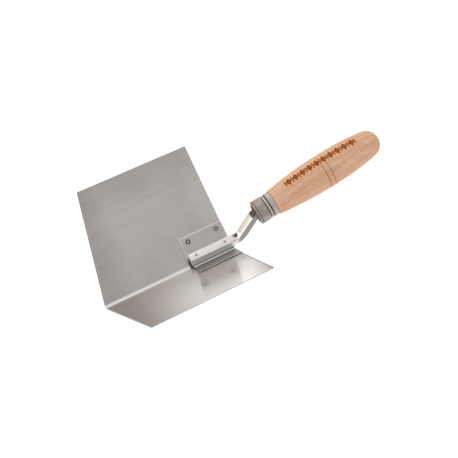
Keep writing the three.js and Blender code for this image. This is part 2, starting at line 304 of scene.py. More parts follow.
def cut(made: bpy.types.Object, cutters: Sequence[bpy.types.Object]) -> None:
    """Subtracts some bodies from a piece and removes them.

    Args:
        made: The piece that is cut.
        cutters: Closed bodies in the same frame.
    """
    for cutter in cutters:
        modifier = made.modifiers.new("cut", "BOOLEAN")
        modifier.operation = "DIFFERENCE"
        modifier.solver = "EXACT"
        modifier.object = cutter
    apply_modifiers(made)
    for cutter in cutters:
        bpy.data.objects.remove(cutter)


def soften(made: bpy.types.Object, radius: float, facets: int = 3) -> None:
    """Gives a piece small rounded edges and smooth shading that stops at them.

    Args:
        made: The piece.
        radius: The rounding's width in millimetres.
        facets: How many facets stand for the rounding.
    """
    modifier = made.modifiers.new("soften", "BEVEL")
    modifier.width = radius * MM
    modifier.segments = facets
    modifier.limit_method = "ANGLE"
    modifier.angle_limit = math.radians(CREASE)
    modifier.harden_normals = True
    smooth_shading(made)
    apply_modifiers(made)


def smooth_shading(made: bpy.types.Object, sharper_than: float = CREASE) -> None:
    """Shades a piece smooth, apart from its sharp edges.

    Args:
        made: The piece.
        sharper_than: Edges that turn more than this many degrees stay sharp.
    """
    shape = bmesh.new()
    shape.from_mesh(made.data)
    for face in shape.faces:
        face.smooth = True
    for edge in shape.edges:
        turn = edge.calc_face_angle(math.pi) if edge.is_manifold else math.pi
        edge.smooth = turn < math.radians(sharper_than)
    shape.to_mesh(made.data)
    shape.free()


# ---- Shader maths ----

Number = Union[float, "Value"]


class Value:
    """A number that varies over a surface; arithmetic on it adds Math nodes."""

    def __init__(self, graph: "NodeKit", socket: bpy.types.NodeSocket) -> None:
        """Wraps a socket of a graph."""
        self.graph = graph
        self.socket = socket

    def math(self, operation: str, *operands: Number) -> "Value":
        """Adds one Math node.

        Args:
            operation: The Math node's operation.
            operands: Its inputs, in order.

        Returns:
            The node's result.
        """
        inputs = dict(enumerate(operands))
        node = self.graph.node("ShaderNodeMath", {"operation": operation}, inputs)
        return Value(self.graph, node.outputs[0])

    def __add__(self, other: Number) -> "Value":
        """self + other."""
        return self.math("ADD", self, other)

    __radd__ = __add__

    def __sub__(self, other: Number) -> "Value":
        """self - other."""
        return self.math("SUBTRACT", self, other)

    def __rsub__(self, other: Number) -> "Value":
        """other - self."""
        return self.math("SUBTRACT", other, self)

    def __mul__(self, other: Number) -> "Value":
        """self * other."""
        return self.math("MULTIPLY", self, other)

    __rmul__ = __mul__

    def __truediv__(self, other: Number) -> "Value":
        """self / other."""
        return self.math("DIVIDE", self, other)

    def __abs__(self) -> "Value":
        """The size of self."""
        return self.math("ABSOLUTE", self)

    def fraction(self) -> "Value":
        """The part after the decimal point."""
        return self.math("FRACT", self)

    def least(self, other: Number) -> "Value":
        """The smaller of self and other."""
        return self.math("MINIMUM", self, other)

    def most(self, other: Number) -> "Value":
        """The larger of self and other."""
        return self.math("MAXIMUM", self, other)

    def hypot(self, other: "Value") -> "Value":
        """The long side of a right triangle whose short sides are self and other."""
        return self.math("SQRT", self * self + other * other)

    def swing(self, amount: float) -> "Value":
        """Turns a pattern around 0.5 into a swing of up to half the amount either way."""
        return (self - 0.5) * amount

    def below(self, limit: float, fade: float) -> "Value":
        """1 below a limit and 0 above it, fading over that much on either side."""
        return self.ramp(limit + fade, limit - fade)

    def ramp(self, low: float, high: float) -> "Value":
        """Rises smoothly from 0 where self is low to 1 where it is high.

        Args:
            low: The input that gives 0.
            high: The input that gives 1; it may be below low, for a falling ramp.

        Returns:
            The ramp's value.
        """
        start, end, flip = (low, high, False) if low < high else (high, low, True)
        node = self.graph.node(
            "ShaderNodeMapRange",
            {"interpolation_type": "SMOOTHSTEP"},
            {"Value": self, "From Min": start, "From Max": end},
        )
        rising = Value(self.graph, node.outputs[0])
        return 1 - rising if flip else rising


@dataclass(frozen=True)
class Noise:
    """A noise pattern whose grains have the given size in millimetres along X, Y and Z."""

    size: Point3
    detail: float = 2.0
    distortion: float = 0.0


class NodeKit:
    """Adds nodes to a shader tree."""

    def __init__(self, tree: bpy.types.NodeTree) -> None:
        """Works on the given tree."""
        self.tree = tree

    def node(
        self,
        kind: str,
        settings: Mapping[str, Any] | None = None,
        inputs: Mapping[Any, Any] | None = None,
    ) -> bpy.types.Node:
        """Adds a node.

        Args:
            kind: The node's type.
            settings: Its properties, set first.
            inputs: Numbers, colours or links for its sockets, by name or index.

        Returns:
            The node.
        """
        made = self.tree.nodes.new(kind)
        for key, value in (settings or {}).items():
            setattr(made, key, value)
        for key, value in (inputs or {}).items():
            self.feed(made.inputs[key], value)
        return made

    def feed(self, socket: bpy.types.NodeSocket, value: Any) -> None:
        """Links a socket to a value, or sets it to a plain number or colour.

        Args:
            socket: The input that is fed.
            value: A Value, a socket, a number, a vector or a colour.
        """
        if isinstance(value, Value):
            self.tree.links.new(value.socket, socket)
        elif isinstance(value, bpy.types.NodeSocket):
            self.tree.links.new(value, socket)
        elif isinstance(value, tuple) and socket.type == "RGBA":
            socket.default_value = (*value, 1.0)
        else:
            socket.default_value = value

    def split(self, vector: bpy.types.NodeSocket) -> tuple[Value, Value, Value]:
        """Takes a vector apart into its three numbers."""
        node = self.node("ShaderNodeSeparateXYZ", None, {0: vector})
        return tuple(Value(self, output) for output in node.outputs)

    def combine(self, x: Number, y: Number, z: Number) -> bpy.types.NodeSocket:
        """Puts three numbers together into a vector."""
        return self.node("ShaderNodeCombineXYZ", None, {0: x, 1: y, 2: z}).outputs[0]

    def noise(self, vector: bpy.types.NodeSocket, pattern: Noise) -> Value:
        """Reads a noise pattern.

        Args:
            vector: Where to read it, in millimetres.
            pattern: The pattern.

        Returns:
            Its value, around 0.5.
        """
        scaled = self.node("ShaderNodeVectorMath", {"operation": "DIVIDE"}, {
            0: vector,
            1: Vector(pattern.size),
        })
        node = self.node("ShaderNodeTexNoise", {"noise_dimensions": "3D"}, {
            "Vector": scaled.outputs[0],
            "Scale": 1.0,
            "Detail": pattern.detail,
            "Distortion": pattern.distortion,
        })
        return Value(self, node.outputs["Fac"])

    def distance(self, vector: bpy.types.NodeSocket, point: Point3 | Vector) -> Value:
        """Measures the distance from a point.

        Args:
            vector: The surface's place, in local millimetres.
            point: The point, in the same frame.

        Returns:
            The distance in millimetres.
        """
        node = self.node("ShaderNodeVectorMath", {"operation": "DISTANCE"}, {
            0: vector,
            1: point,
        })
        return Value(self, node.outputs["Value"])

    def attribute(self, name: str) -> Value:
        """Reads a number that the mesh carries."""
        node = self.node("ShaderNodeAttribute", {"attribute_name": name})
        return Value(self, node.outputs["Fac"])

    def mix(self, share: Number, first: Any, second: Any) -> bpy.types.NodeSocket:
        """Blends two colours.

        Args:
            share: 0 gives the first and 1 the second.
            first: A colour or a colour socket.
            second: A colour or a colour socket.

        Returns:
            The blended colour's socket.
        """
        node = self.node("ShaderNodeMix", {"data_type": "RGBA"})
        self.feed(node.inputs["Factor"], share)
        colours = [socket for socket in node.inputs if socket.type == "RGBA"]
        self.feed(colours[0], first)
        self.feed(colours[1], second)
        return next(socket for socket in node.outputs if socket.type == "RGBA")


class Graph(NodeKit):
    """A procedural material with one Principled shader."""

    def __init__(self, name: str) -> None:
        """Makes an empty material.

        Args:
            name: The material's name.
        """
        self.material = bpy.data.materials.new(name)
        self.material.use_nodes = True
        super().__init__(self.material.node_tree)
        self.tree.nodes.clear()
        self.shader = self.node("ShaderNodeBsdfPrincipled")
        output = self.node("ShaderNodeOutputMaterial")
        self.tree.links.new(self.shader.outputs[0], output.inputs[0])

    def local(self, frame_matrix: Matrix) -> bpy.types.NodeSocket:
        """Reads the surface's place in a piece's own frame.

        Args:
            frame_matrix: Takes the piece's local millimetres to bench metres.

        Returns:
            A vector socket in local millimetres.
        """
        turn = frame_matrix.to_quaternion().inverted()
        shift = -(turn @ frame_matrix.to_translation()) / MM
        coordinates = self.node("ShaderNodeTexCoord")
        mapping = self.node("ShaderNodeMapping", {"vector_type": "POINT"}, {
            "Vector": coordinates.outputs["Object"],
            "Location": shift,
            "Rotation": turn.to_euler(),
            "Scale": Vector((1, 1, 1)) / MM,
        })
        return mapping.outputs[0]

    def bump(self, height: Value, depth: float) -> bpy.types.NodeSocket:
        """Turns a height pattern into a surface normal.

        Args:
            height: The pattern, from 0 to 1.
            depth: How deep it is, in millimetres.

        Returns:
            The normal's socket.
        """
        node = self.node("ShaderNodeBump", None, {
            "Height": height,
            "Distance": depth * MM,
            "Strength": 1.0,
        })
        return node.outputs[0]

    def surface(self, **inputs: Any) -> bpy.types.Material:
        """Feeds the shader's sockets, named with underscores, and returns the material."""
        for name, value in inputs.items():
            self.feed(self.shader.inputs[name.replace("_", " ")], value)
        return self.material


# ---- Finishes ----


@dataclass(frozen=True)
class Fade:
    """A zone of a surface, fading in from one level of some value to another."""

    start: float
    full: float
    strength: float = 1.0

    def of(self, value: Value) -> Value:
        """How strongly the zone covers a place with this value."""
        return value.ramp(self.start, self.full) * self.strength


@dataclass
class Skin:
    """A surface while its finish is worked out, placed in local millimetres."""

    graph: Graph
    where: bpy.types.NodeSocket
    colour: Any
    rough: Number

    def __post_init__(self) -> None:
        """Takes the place apart."""
        self.along, self.across, self.up = self.graph.split(self.where)

    def tint(self, share: Number, colour: Any) -> None:
        """Blends a colour in, by a share from 0 to 1."""
        self.colour = self.graph.mix(share, self.colour, colour)

    def leaf_place(self) -> tuple[Value, Value]:
        """Finds where the surface is over whichever leaf it is nearer to.

        Returns:
            The distance out from the spine and the height over the leaf's inner face.
        """
        cos, sin = math.cos(LEAF_TILT), math.sin(LEAF_TILT)
        side = abs(self.across)
        return side * cos + self.up * sin, self.up * cos - side * sin


class Lay(Enum):
    """The direction in which a steel surface was worked, as its grain's size."""

    ALONG_X = (14.0, 0.16, 0.16)
    TURNED = (0.16, 9.0, 9.0)


@dataclass(frozen=True)
class HeatMark:
    """The heat tint around a spot weld, at a point of the piece's frame."""

    at: Vector
    core: float
    halo: float
    strength: float = 1.0


@dataclass(frozen=True)
class SteelFinish:
    """A worked steel surface with faint colour patches, fine lay and optional heat marks."""

    name: str
    tint: Colour
    patch_tint: Colour
    lay: Lay
    roughness: float
    lay_depth: float = 0.002
    lay_gloss: float = 0.12  # how far the lay swings the roughness
    lay_streak: Fade = Fade(0.62, 0.3, 0.5)
    streak: float = 0.08  # how much darker a streak is
    patch_size: float = 22.0
    patch: Fade = Fade(0.36, 0.64)
    patch_gloss: float = 0.03
    anisotropy: float = 0.0
    coat: float = 0.0
    coat_roughness: float = 0.1
    coat_ior: float = 3.0
    mark_tint: Colour = (0.17, 0.105, 0.07)
    mark_edge: Point2 = (1.15, 0.6)  # where a mark fades, as shares of its core's radius
    halo_tint: Colour = (0.42, 0.31, 0.25)
    halo_share: float = 0.55

    def material(self, place: Matrix, marks: Sequence[HeatMark] = ()) -> bpy.types.Material:
        """Builds the finish for one piece.

        Args:
            place: Takes the piece's local millimetres to bench metres.
            marks: Heat marks in that local frame.

        Returns:
            The material.
        """
        graph = Graph(self.name)
        where = graph.local(place)
        lines = graph.noise(where, Noise(self.lay.value, detail=3))
        cloud = Noise((self.patch_size,) * 3, detail=1.5, distortion=0.4)
        patches = self.patch.of(graph.noise(where, cloud))
        rough = self.roughness + lines.swing(self.lay_gloss) + patches.swing(self.patch_gloss)
        skin = Skin(graph, where, graph.mix(patches, self.tint, self.patch_tint), rough)
        dark = tuple(channel * (1 - self.streak) for channel in self.tint)
        skin.tint(self.lay_streak.of(lines), dark)
        self.work(skin)
        for mark in marks:
            reach = graph.distance(where, mark.at)
            halo = reach.ramp(mark.halo, mark.core) * self.halo_share
            skin.tint(halo * mark.strength, self.halo_tint)
            spot = reach.ramp(*(mark.core * share for share in self.mark_edge))
            skin.tint(spot * mark.strength, self.mark_tint)
        return graph.surface(
            Base_Color=skin.colour,
            Metallic=1.0,
            Roughness=skin.rough,
            Anisotropic=self.anisotropy,
            Normal=graph.bump(lines, self.lay_depth),
            Coat_Weight=self.coat,
            Coat_Roughness=self.coat_roughness,
            Coat_IOR=self.coat_ior,
        )

    def work(self, skin: Skin) -> None:
        """Adds what is particular to a piece; plain steel has nothing."""


@dataclass(frozen=True)
class Scorch:
    """An egg-shaped patch of forging scale on the bar, dark and more or less swirled."""

    at: Point3
    size: Point3
    tint: Colour
    swirl: float

    def cover(self, skin: Skin, swirl: Value, edge: Fade, flaked: Fade) -> Value:
        """Says how much of the bar the patch covers.

        Args:
            skin: The bar's surface.
            swirl: The pattern that breaks the patch up.
            edge: Where the patch ends, as shares of its size, squared.
            flaked: The pattern's levels at which the scale has flaked off.

        Returns:
            The cover, from 0 to 1.
        """
        far = swirl.swing(self.swirl)
        for part, middle, size in zip((skin.along, skin.across, skin.up), self.at, self.size):
            offset = (part - middle) / size
            far = far + offset * offset
        return edge.of(far) * (1 - flaked.of(swirl) * self.swirl)


@dataclass(frozen=True)
class BarFinish(SteelFinish):
    """A ground bar with a painted highlight on its neck's top and underside, dull flanks with
    painted shade on the neck's, and scale at its bends.
    """

    # Painted highlight: the neck's top and underside are tinted light.
    neck: Fade = Fade(143.0, 149.0)
    neck_highlight_tint: Colour = (0.97, 0.91, 0.83)
    flank_attribute: str = "flank"
    flank: Fade = Fade(0.72, 0.97)
    flank_tint: Colour = (0.86, 0.83, 0.81)
    # Painted shade on the neck's flanks.
    neck_flank_shade_tint: Colour = (0.30, 0.285, 0.285)
    flank_roughness: float = 0.5
    grit_size: Point3 = (0.3, 0.9, 0.9)
    grit: Fade = Fade(0.3, 0.7, 0.15)
    singe_at: Point3 = (141.6, -4.0, 15.0)
    singe: Fade = Fade(2.6, 0.6, 0.6)
    singe_tint: Colour = (0.62, 0.27, 0.11)
    swirl: Noise = Noise((1.5, 1.5, 1.5), distortion=1.0)
    scale_edge: Fade = Fade(1.3, 0.3)
    flaked: Fade = Fade(0.54, 0.62)
    scorches: tuple[Scorch, ...] = (
        Scorch((145.2, 1.6, 15.4), (3.0, 3.6, 4.0), (0.03, 0.024, 0.018), 0.85),
        Scorch((166.4, 0.0, 37.4), (5.0, 9.0, 5.0), (0.085, 0.06, 0.045), 0.0),
    )

    def work(self, skin: Skin) -> None:
        """Paints a highlight on the neck, dulls the flanks with painted shade on the neck's,
        scorches the bends and singes the waist.

        Args:
            skin: The bar's surface.
        """
        graph = skin.graph
        neck = self.neck.of(skin.along)
        # Painted highlight on the neck.
        skin.tint(neck, self.neck_highlight_tint)
        skin.rough = skin.rough * (1 - neck) + neck * self.roughness
        swirl = graph.noise(skin.where, self.swirl)
        for scorch in self.scorches:
            skin.tint(scorch.cover(skin, swirl, self.scale_edge, self.flaked), scorch.tint)
        grit = self.grit.of(graph.noise(skin.where, Noise(self.grit_size)))
        # The flanks are dull, with painted shade on the neck's flanks.
        dull = graph.mix(neck, self.flank_tint, self.neck_flank_shade_tint)
        flank = self.flank.of(graph.attribute(self.flank_attribute))
        skin.tint(flank, graph.mix(grit, dull, self.tint))
        skin.tint(self.singe.of(graph.distance(skin.where, self.singe_at)), self.singe_tint)
        skin.rough = skin.rough + flank * (self.flank_roughness - self.roughness)


@dataclass(frozen=True)
class Ring:
    """A ring of one tint round a turned piece."""

    middle: float
    half: float
    tint: Colour
    strength: float = 1.0
    edge: Point2 = (1.25, 0.8)  # where it fades, as shares of its half width

    def cover(self, along: Value) -> Value:
        """How much of the piece the ring covers."""
        fade = (self.half * share for share in self.edge)
        return abs(along - self.middle).ramp(*fade) * self.strength


@dataclass(frozen=True)
class FerruleFinish(SteelFinish):
    """Turned steel with rings of painted shade and highlight, a lighter band on the collar and a
    painted highlight on the lip.
    """

    rings: tuple[Ring, ...] = ()
    speckle_size: Point3 = (0.4, 0.7, 0.7)
    speckle_gloss: float = 0.1
    least_cover: float = 0.6  # a ring's cover where the speckle is darkest
    speckle_cover: float = 0.5
    lip_length: float = 0.9
    lip_radius: float = 11.3
    lip_fade: float = 0.1
    # Painted highlight on the lip's edge.
    lip_highlight_tint: Colour = (0.72, 0.66, 0.59)

    def work(self, skin: Skin) -> None:
        """Tints the rings, which paint shade and highlight, and paints a highlight on the lip.

        Args:
            skin: The ferrule's surface.
        """
        speckle = skin.graph.noise(skin.where, Noise(self.speckle_size))
        # The speckle breaks up the painted rings.
        ring_speckle = (self.least_cover + speckle * self.speckle_cover).least(1.0)
        for ring in self.rings:
            skin.tint(ring.cover(skin.along) * ring_speckle, ring.tint)
        # Painted highlight on the lip.
        lip = skin.along.below(self.lip_length, self.lip_fade)
        radius = skin.across.hypot(skin.up)
        skin.tint(lip * radius.below(self.lip_radius, self.lip_fade), self.lip_highlight_tint)
        skin.rough = skin.rough + speckle.swing(self.speckle_gloss)


@dataclass(frozen=True)
class BladeFinish(SteelFinish):
    """Brushed sheet: a painted highlight along the fold, painted shade at the margins,
    painted reflections of the bracket and the welds on the second leaf, and a painted
    shade line along its rear edge.

    Zones along and out are shares of a leaf's length and width, unless they are in
    millimetres, as the fold's, the bracket reflection's and the rear edge's are.
    """

    inner_face: Fade = Fade(-0.5, -0.3)
    fold_zone: Fade = Fade(3.0, 2.0)
    second_leaf: Fade = Fade(-1.0, -4.0)
    streak_size: Point3 = (70.0, 3.5, 3.5)
    streak_swing: float = 0.55
    # Painted shade and the random streaks share this dark tint.
    streak_and_shade_tint: Colour = (0.25, 0.205, 0.18)
    front_shade: Fade = Fade(0.32, 0.06, 0.6)
    rim_shade: Fade = Fade(0.6, 1.0, 0.5)
    second_front_shade: Fade = Fade(0.6, 0.1, 0.6)
    # Painted reflection: a light tint on the second leaf, stronger towards the rear and the outer
    # edge.
    reflection_highlight_tint: Colour = (0.92, 0.885, 0.85)
    reflection_highlight_along: Fade = Fade(0.15, 0.6)
    reflection_highlight_out: Fade = Fade(0.1, 0.9, 0.6)
    reflection_highlight_least: float = 0.3
    # Painted shade at the second leaf's rear tip.
    tip_shade_along: Fade = Fade(0.8, 1.0)
    tip_shade_out: Fade = Fade(0.55, 0.95, 0.45)
    tip_shade_least: float = 0.35
    # Painted reflection of the bracket on the second leaf, as a dark slanted patch.
    bracket_reflection_at: Point2 = (91.0, 30.8)  # along and out, on its slanting front border
    bracket_reflection_slant: float = 0.21
    bracket_reflection_border: float = 1.5
    bracket_reflection_rear: Fade = Fade(SPINE + 4.0, SPINE - 14.0)
    bracket_reflection_out: Fade = Fade(114.0, 60.0, 0.6)
    # Painted reflections of the first leaf's welds on the second leaf.
    weld_reflections: tuple[Point2, ...] = ((86.4, 72.0), (114.6, 73.5))
    weld_reflection: Fade = Fade(5.5, 0.0, 0.45)
    weld_reflection_stretch: float = 0.45
    # Painted shade: a dark line along the second leaf's rear edge.
    painted_edge_tint: Colour = (0.14, 0.14, 0.14)
    painted_edge_width: Point2 = (1.4, 0.98)
    painted_edge_share: float = 0.8
    # Painted highlight along the fold.
    fold_highlight_tint: Colour = (0.90, 0.87, 0.83)
    fold: Fade = Fade(2.4, 1.4, 0.8)

    def work(self, skin: Skin) -> None:
        """Varies the brushing over the leaves with painted shade and reflections, then paints
        the bracket's and the welds' reflections, a shade line at the rear edge and a fold
        highlight.

        Args:
            skin: The sheet's surface.
        """
        out, above = skin.leaf_place()
        inner = self.inner_face.of(above).most(self.fold_zone.of(abs(skin.across)))
        second = self.second_leaf.of(skin.across) * inner
        self.brush(skin, skin.along / SPINE, out / LEAF_WIDTH, second)
        self.paint_reflections(skin, out, second)
        # Painted shade: a dark line along the second leaf's rear edge.
        edge = skin.along.ramp(*(SPINE - width for width in self.painted_edge_width))
        skin.tint(second * edge * self.painted_edge_share, self.painted_edge_tint)
        # Painted highlight along the fold.
        skin.tint(self.fold.of(abs(skin.across)) * inner, self.fold_highlight_tint)

    def brush(self, skin: Skin, along: Value, out: Value, second: Value) -> None:
        """Varies the brushing: random streaks, painted shade at the front and outer rim, and on
        the second leaf a painted reflection that darkens its front and rear tip and lightens it
        towards the rear and outer edge.

        Args:
            skin: The sheet's surface.
            along: The share of the length, from the front.
            out: The share of the width, from the fold.
            second: 1 on the second leaf's inner face.
        """
        streaks = skin.graph.noise(skin.where, Noise(self.streak_size, detail=3))
        # Painted shade towards the front and the outer rim, broken by random streaks.
        dull = self.front_shade.of(along) + self.rim_shade.of(out) * (1 - second)
        skin.tint((dull + streaks.swing(self.streak_swing)).most(0.0), self.streak_and_shade_tint)
        # Painted shade at the second leaf's front.
        skin.tint(second * self.second_front_shade.of(along), self.streak_and_shade_tint)
        # Painted reflection: the second leaf grows lighter towards the rear and the outer edge.
        bright = self.reflection_highlight_along.of(along) * (self.reflection_highlight_least + self.reflection_highlight_out.of(out))
        skin.tint(second * bright, self.reflection_highlight_tint)
        # Painted shade at the second leaf's rear tip.
        tip = self.tip_shade_along.of(along) * (self.tip_shade_least + self.tip_shade_out.of(out))
        skin.tint(second * tip, self.streak_and_shade_tint)

    def paint_reflections(self, skin: Skin, out: Value, second: Value) -> None:
        """Paints the bracket's dark reflection and the first leaf's welds' reflections onto the
        second leaf.

        Args:
            skin: The sheet's surface.
            out: Millimetres out from the fold.
            second: 1 on the second leaf's inner face.
        """
        start, level = self.bracket_reflection_at
        # Painted reflection of the bracket: a dark slanted patch on the second leaf.
        slanted = skin.along + (out - level) * self.bracket_reflection_slant
        bracket_reflection = (1 - slanted.below(start, self.bracket_reflection_border)) * self.bracket_reflection_rear.of(slanted)
        skin.tint(second * bracket_reflection * self.bracket_reflection_out.of(out), self.streak_and_shade_tint)
        # Painted reflections of the first leaf's welds: soft dark spots on the second leaf.
        for along, beside in self.weld_reflections:
            offset = (skin.along - along).hypot((out - beside) * self.weld_reflection_stretch)
            skin.tint(second * self.weld_reflection.of(offset), self.streak_and_shade_tint)


@dataclass(frozen=True)
class BracketFinish(SteelFinish):
    """Pressed sheet: painted highlights along its edges and the crest's shoulder, a hatched second
    flange with a darkened cut edge, and painted shade in the mouth.
    """

    second_flange: Fade = Fade(-7.3, -7.9)
    second_gloss: float = 0.12
    hatch_tint: Colour = (0.33, 0.32, 0.31)
    hatch_size: Point3 = (0.35, 5.0, 5.0)
    hatch: Fade = Fade(0.42, 0.6, 0.5)
    hatch_least: float = 0.2
    # Painted highlight along the crest's shoulder.
    shoulder_at: float = -6.5
    shoulder: Fade = Fade(0.75, 0.5)
    # Painted highlights along the flanges' edges and the first flange's front.
    painted_edge_tint: Colour = (0.92, 0.89, 0.86)
    painted_edge_width: float = 0.75
    edge_fade: float = 0.2
    painted_edge_share: float = 0.8
    first_flange: Fade = Fade(6.0, 8.0)
    # Darkens the second flange's cut edge and paints the shade in the hollow at the front end.
    cut_edge_and_mouth_dark: Colour = (0.03, 0.028, 0.025)
    cut_edge_and_mouth_share: float = 0.9
    sheared: Fade = Fade(0.9, 0.75)  # how high the darkened cut edge reaches
    sheared_from: Point2 = (0.3, 0.2)
    # Painted shade in the hollow under the crest at the front end.
    mouth: tuple[Fade, Fade] = (Fade(6.5, 5.5), Fade(-14.0, -12.0))

    def work(self, skin: Skin) -> None:
        """Hatches the second flange, paints highlights along the edges and the crest's shoulder,
        darkens the second flange's cut edge and paints shade into the mouth.

        Args:
            skin: The bracket's surface.
        """
        out, above = skin.leaf_place()
        side = self.second_flange.of(skin.across)
        ticks = self.hatch.of(skin.graph.noise(skin.where, Noise(self.hatch_size)))
        skin.tint(side * (self.hatch_least + ticks), self.hatch_tint)
        # Painted highlights along the flange rims, the crest's shoulder and the first flange's
        # front.
        rim, nose = BRACKET_REACH - self.painted_edge_width, BRACKET_START + self.painted_edge_width
        margin = out.ramp(rim - self.edge_fade, rim)
        margin = margin.most(self.shoulder.of(abs(skin.across - self.shoulder_at)))
        front = skin.along.ramp(nose, nose - self.edge_fade)
        bright = margin.most(front * self.first_flange.of(skin.across))
        skin.tint(bright * self.painted_edge_share, self.painted_edge_tint)
        # The second flange's cut edge is darkened.
        sheared = side * out.ramp(*(BRACKET_REACH - depth for depth in self.sheared_from))
        sheared = sheared * self.sheared.of(above)
        # Painted shade in the hollow under the crest at the front end.
        mouth = front * self.mouth[0].of(skin.across) * self.mouth[1].of(skin.across)
        skin.tint(sheared.most(mouth) * self.cut_edge_and_mouth_share, self.cut_edge_and_mouth_dark)
        skin.rough = skin.rough + side * self.second_gloss


@dataclass(frozen=True)
class WeldFinish:
    """A spot weld's face: bright in the middle, with a dark heat ring at its rim."""

    name: str
    middle: Colour
    rim: Colour
    spread_attribute: str = "spread"
    grain_size: Point3 = (0.5, 0.5, 0.5)
    grain_depth: float = 0.02
    ragged: float = 0.25  # how far the grain shifts the ring
    ring: Fade = Fade(0.42, 0.8)
    roughness: float = 0.38
    gloss: float = 0.2

    def material(self, place: Matrix) -> bpy.types.Material:
        """Builds the finish; the piece's own attribute says how far out a point is.

        Args:
            place: Takes the trowel's local millimetres to bench metres.

        Returns:
            The material.
        """
        graph = Graph(self.name)
        grain = graph.noise(graph.local(place), Noise(self.grain_size))
        spread = graph.attribute(self.spread_attribute) + grain.swing(self.ragged)
        return graph.surface(
            Base_Color=graph.mix(self.ring.of(spread), self.middle, self.rim),
            Metallic=1.0,
            Roughness=self.roughness + grain.swing(self.gloss),
            Normal=graph.bump(grain, self.grain_depth),
        )


@dataclass(frozen=True)
class Ornament:
    """A burnt border on the handle: solid lozenges with upright bars between them."""

    start: float = 38.5
    pitch: float = 8.1
    repeats: int = 10
    half_height: float = 4.7
    half_width: float = 3.5
    lozenge: Fade = Fade(1.05, 0.97)  # its edge, as a share of its size
    bar_height: float = 3.6
    bar_width: float = 0.7
    bar_end: float = 0.15
    bar_edge: float = 0.1
    ends: Fade = Fade(0.8, 0.5)  # how far the border's last bars pass its length
    burn: Colour = (0.31, 0.07, 0.0)

    def mask(self, along: Value, around: Value) -> Value:
        """Draws the border.

        Args:
            along: Millimetres along the handle.
            around: Millimetres around it, from the border's middle line.

        Returns:
            1 on the burnt marks and 0 on plain wood.
        """
        half_length = self.pitch * self.repeats / 2
        cell = ((along - self.start) / self.pitch).fraction() - 0.5
        offset = abs(cell) * self.pitch
        height = abs(around)
        lozenge = self.lozenge.of(offset / self.half_width + height / self.half_height)
        bar = abs(offset - self.pitch / 2).below(self.bar_width, self.bar_edge)
        bar = bar * height.below(self.bar_height, self.bar_end)
        past = abs(along - (self.start + half_length)) - half_length
        return lozenge.most(bar) * self.ends.of(past)


@dataclass(frozen=True)
class BeechFinish:
    """Turned, oiled beech: straight grain, short dark flecks and soft growth bands."""

    name: str = "oiled_beech"
    light: Colour = (0.755, 0.475, 0.325)
    deep: Colour = (0.63, 0.34, 0.195)
    fleck_tint: Colour = (0.34, 0.155, 0.075)
    score_tint: Colour = (0.40, 0.13, 0.035)
    figure: Noise = Noise((55.0, 14.0, 14.0), distortion=0.6)
    figure_deep: Fade = Fade(0.5, 0.72, 0.5)
    band_noise: Noise = Noise((6.0, 2.4, 2.4), detail=3)
    band_scale: Point3 = (0.05, 1.0, 0.35)
    band_sway: Point3 = (0.0, 9.0, 5.0)  # how far the figure shifts the growth bands
    bands: Fade = Fade(0.32, 0.68, 0.8)
    fibre_noise: Noise = Noise((5.0, 0.5, 0.5), detail=3)
    fibres: Fade = Fade(0.5, 0.8, 0.45)
    fleck_noise: Noise = Noise((2.2, 0.7, 0.7), detail=1)
    flecks: Fade = Fade(0.6, 0.7, 0.4)
    score: Fade = Fade(0.6, 0.25)
    score_least: float = 0.2
    scorch: Fade = Fade(1.9, 0.6, 0.65)
    scorch_turn: float = -1.5  # where round the handle the turned lines are scorched most
    char_noise: Noise = Noise((1.2, 0.5, 0.5))
    char_least: float = 0.8
    char_swing: float = 0.4
    relief: Point3 = (0.5, 0.3, -0.6)  # the fibres', flecks' and burnt marks' parts of the height
    relief_depth: float = 0.05
    roughness: float = 0.52
    fibre_gloss: float = 0.25
    burnt_gloss: float = 0.15
    specular: float = 0.15
    ornament: Ornament = field(default_factory=Ornament)

    def material(self, place: Matrix, score_lines: Sequence[float]) -> bpy.types.Material:
        """Builds the finish.

        Args:
            place: Takes the handle's local millimetres to bench metres.
            score_lines: Where the turned lines are, along the handle.

        Returns:
            The material.
        """
        graph = Graph(self.name)
        skin = Skin(graph, graph.local(place), self.light, self.roughness)
        angle = skin.across.math("ARCTAN2", skin.across, skin.up)
        fibre = graph.noise(skin.where, self.fibre_noise)
        fleck = graph.noise(skin.where, self.fleck_noise)
        self.grow(skin)
        skin.tint(self.fibres.of(fibre), self.fleck_tint)
        skin.tint(self.flecks.of(fleck), self.fleck_tint)
        scorch = self.score_least + self.scorch.of(abs(angle - self.scorch_turn))
        for line in score_lines:
            skin.tint(self.score.of(abs(skin.along - line)) * scorch, self.score_tint)
        burnt = self.ornament.mask(skin.along, angle * skin.across.hypot(skin.up))
        char = self.char_least + graph.noise(skin.where, self.char_noise) * self.char_swing
        skin.tint(burnt * char.least(1.0), self.ornament.burn)
        height = sum(part * rise for part, rise in zip((fibre, fleck, burnt), self.relief))
        return graph.surface(
            Base_Color=skin.colour,
            Roughness=self.roughness + fibre.swing(self.fibre_gloss) + burnt * self.burnt_gloss,
            Normal=graph.bump(height, self.relief_depth),
            Specular_IOR_Level=self.specular,
        )

    def grow(self, skin: Skin) -> None:
        """Colours the wood's growth bands, which sway with its figure.

        Args:
            skin: The handle's surface.
        """
        graph = skin.graph
        figure = graph.noise(skin.where, self.figure)
        parts = zip((skin.along, skin.across, skin.up), self.band_scale, self.band_sway)
        swayed = graph.combine(*(part * scale + figure * sway for part, scale, sway in parts))
        skin.tint(self.bands.of(graph.noise(swayed, self.band_noise)), self.deep)
        skin.tint(self.figure_deep.of(figure), self.deep)


# ---- Where things are ----


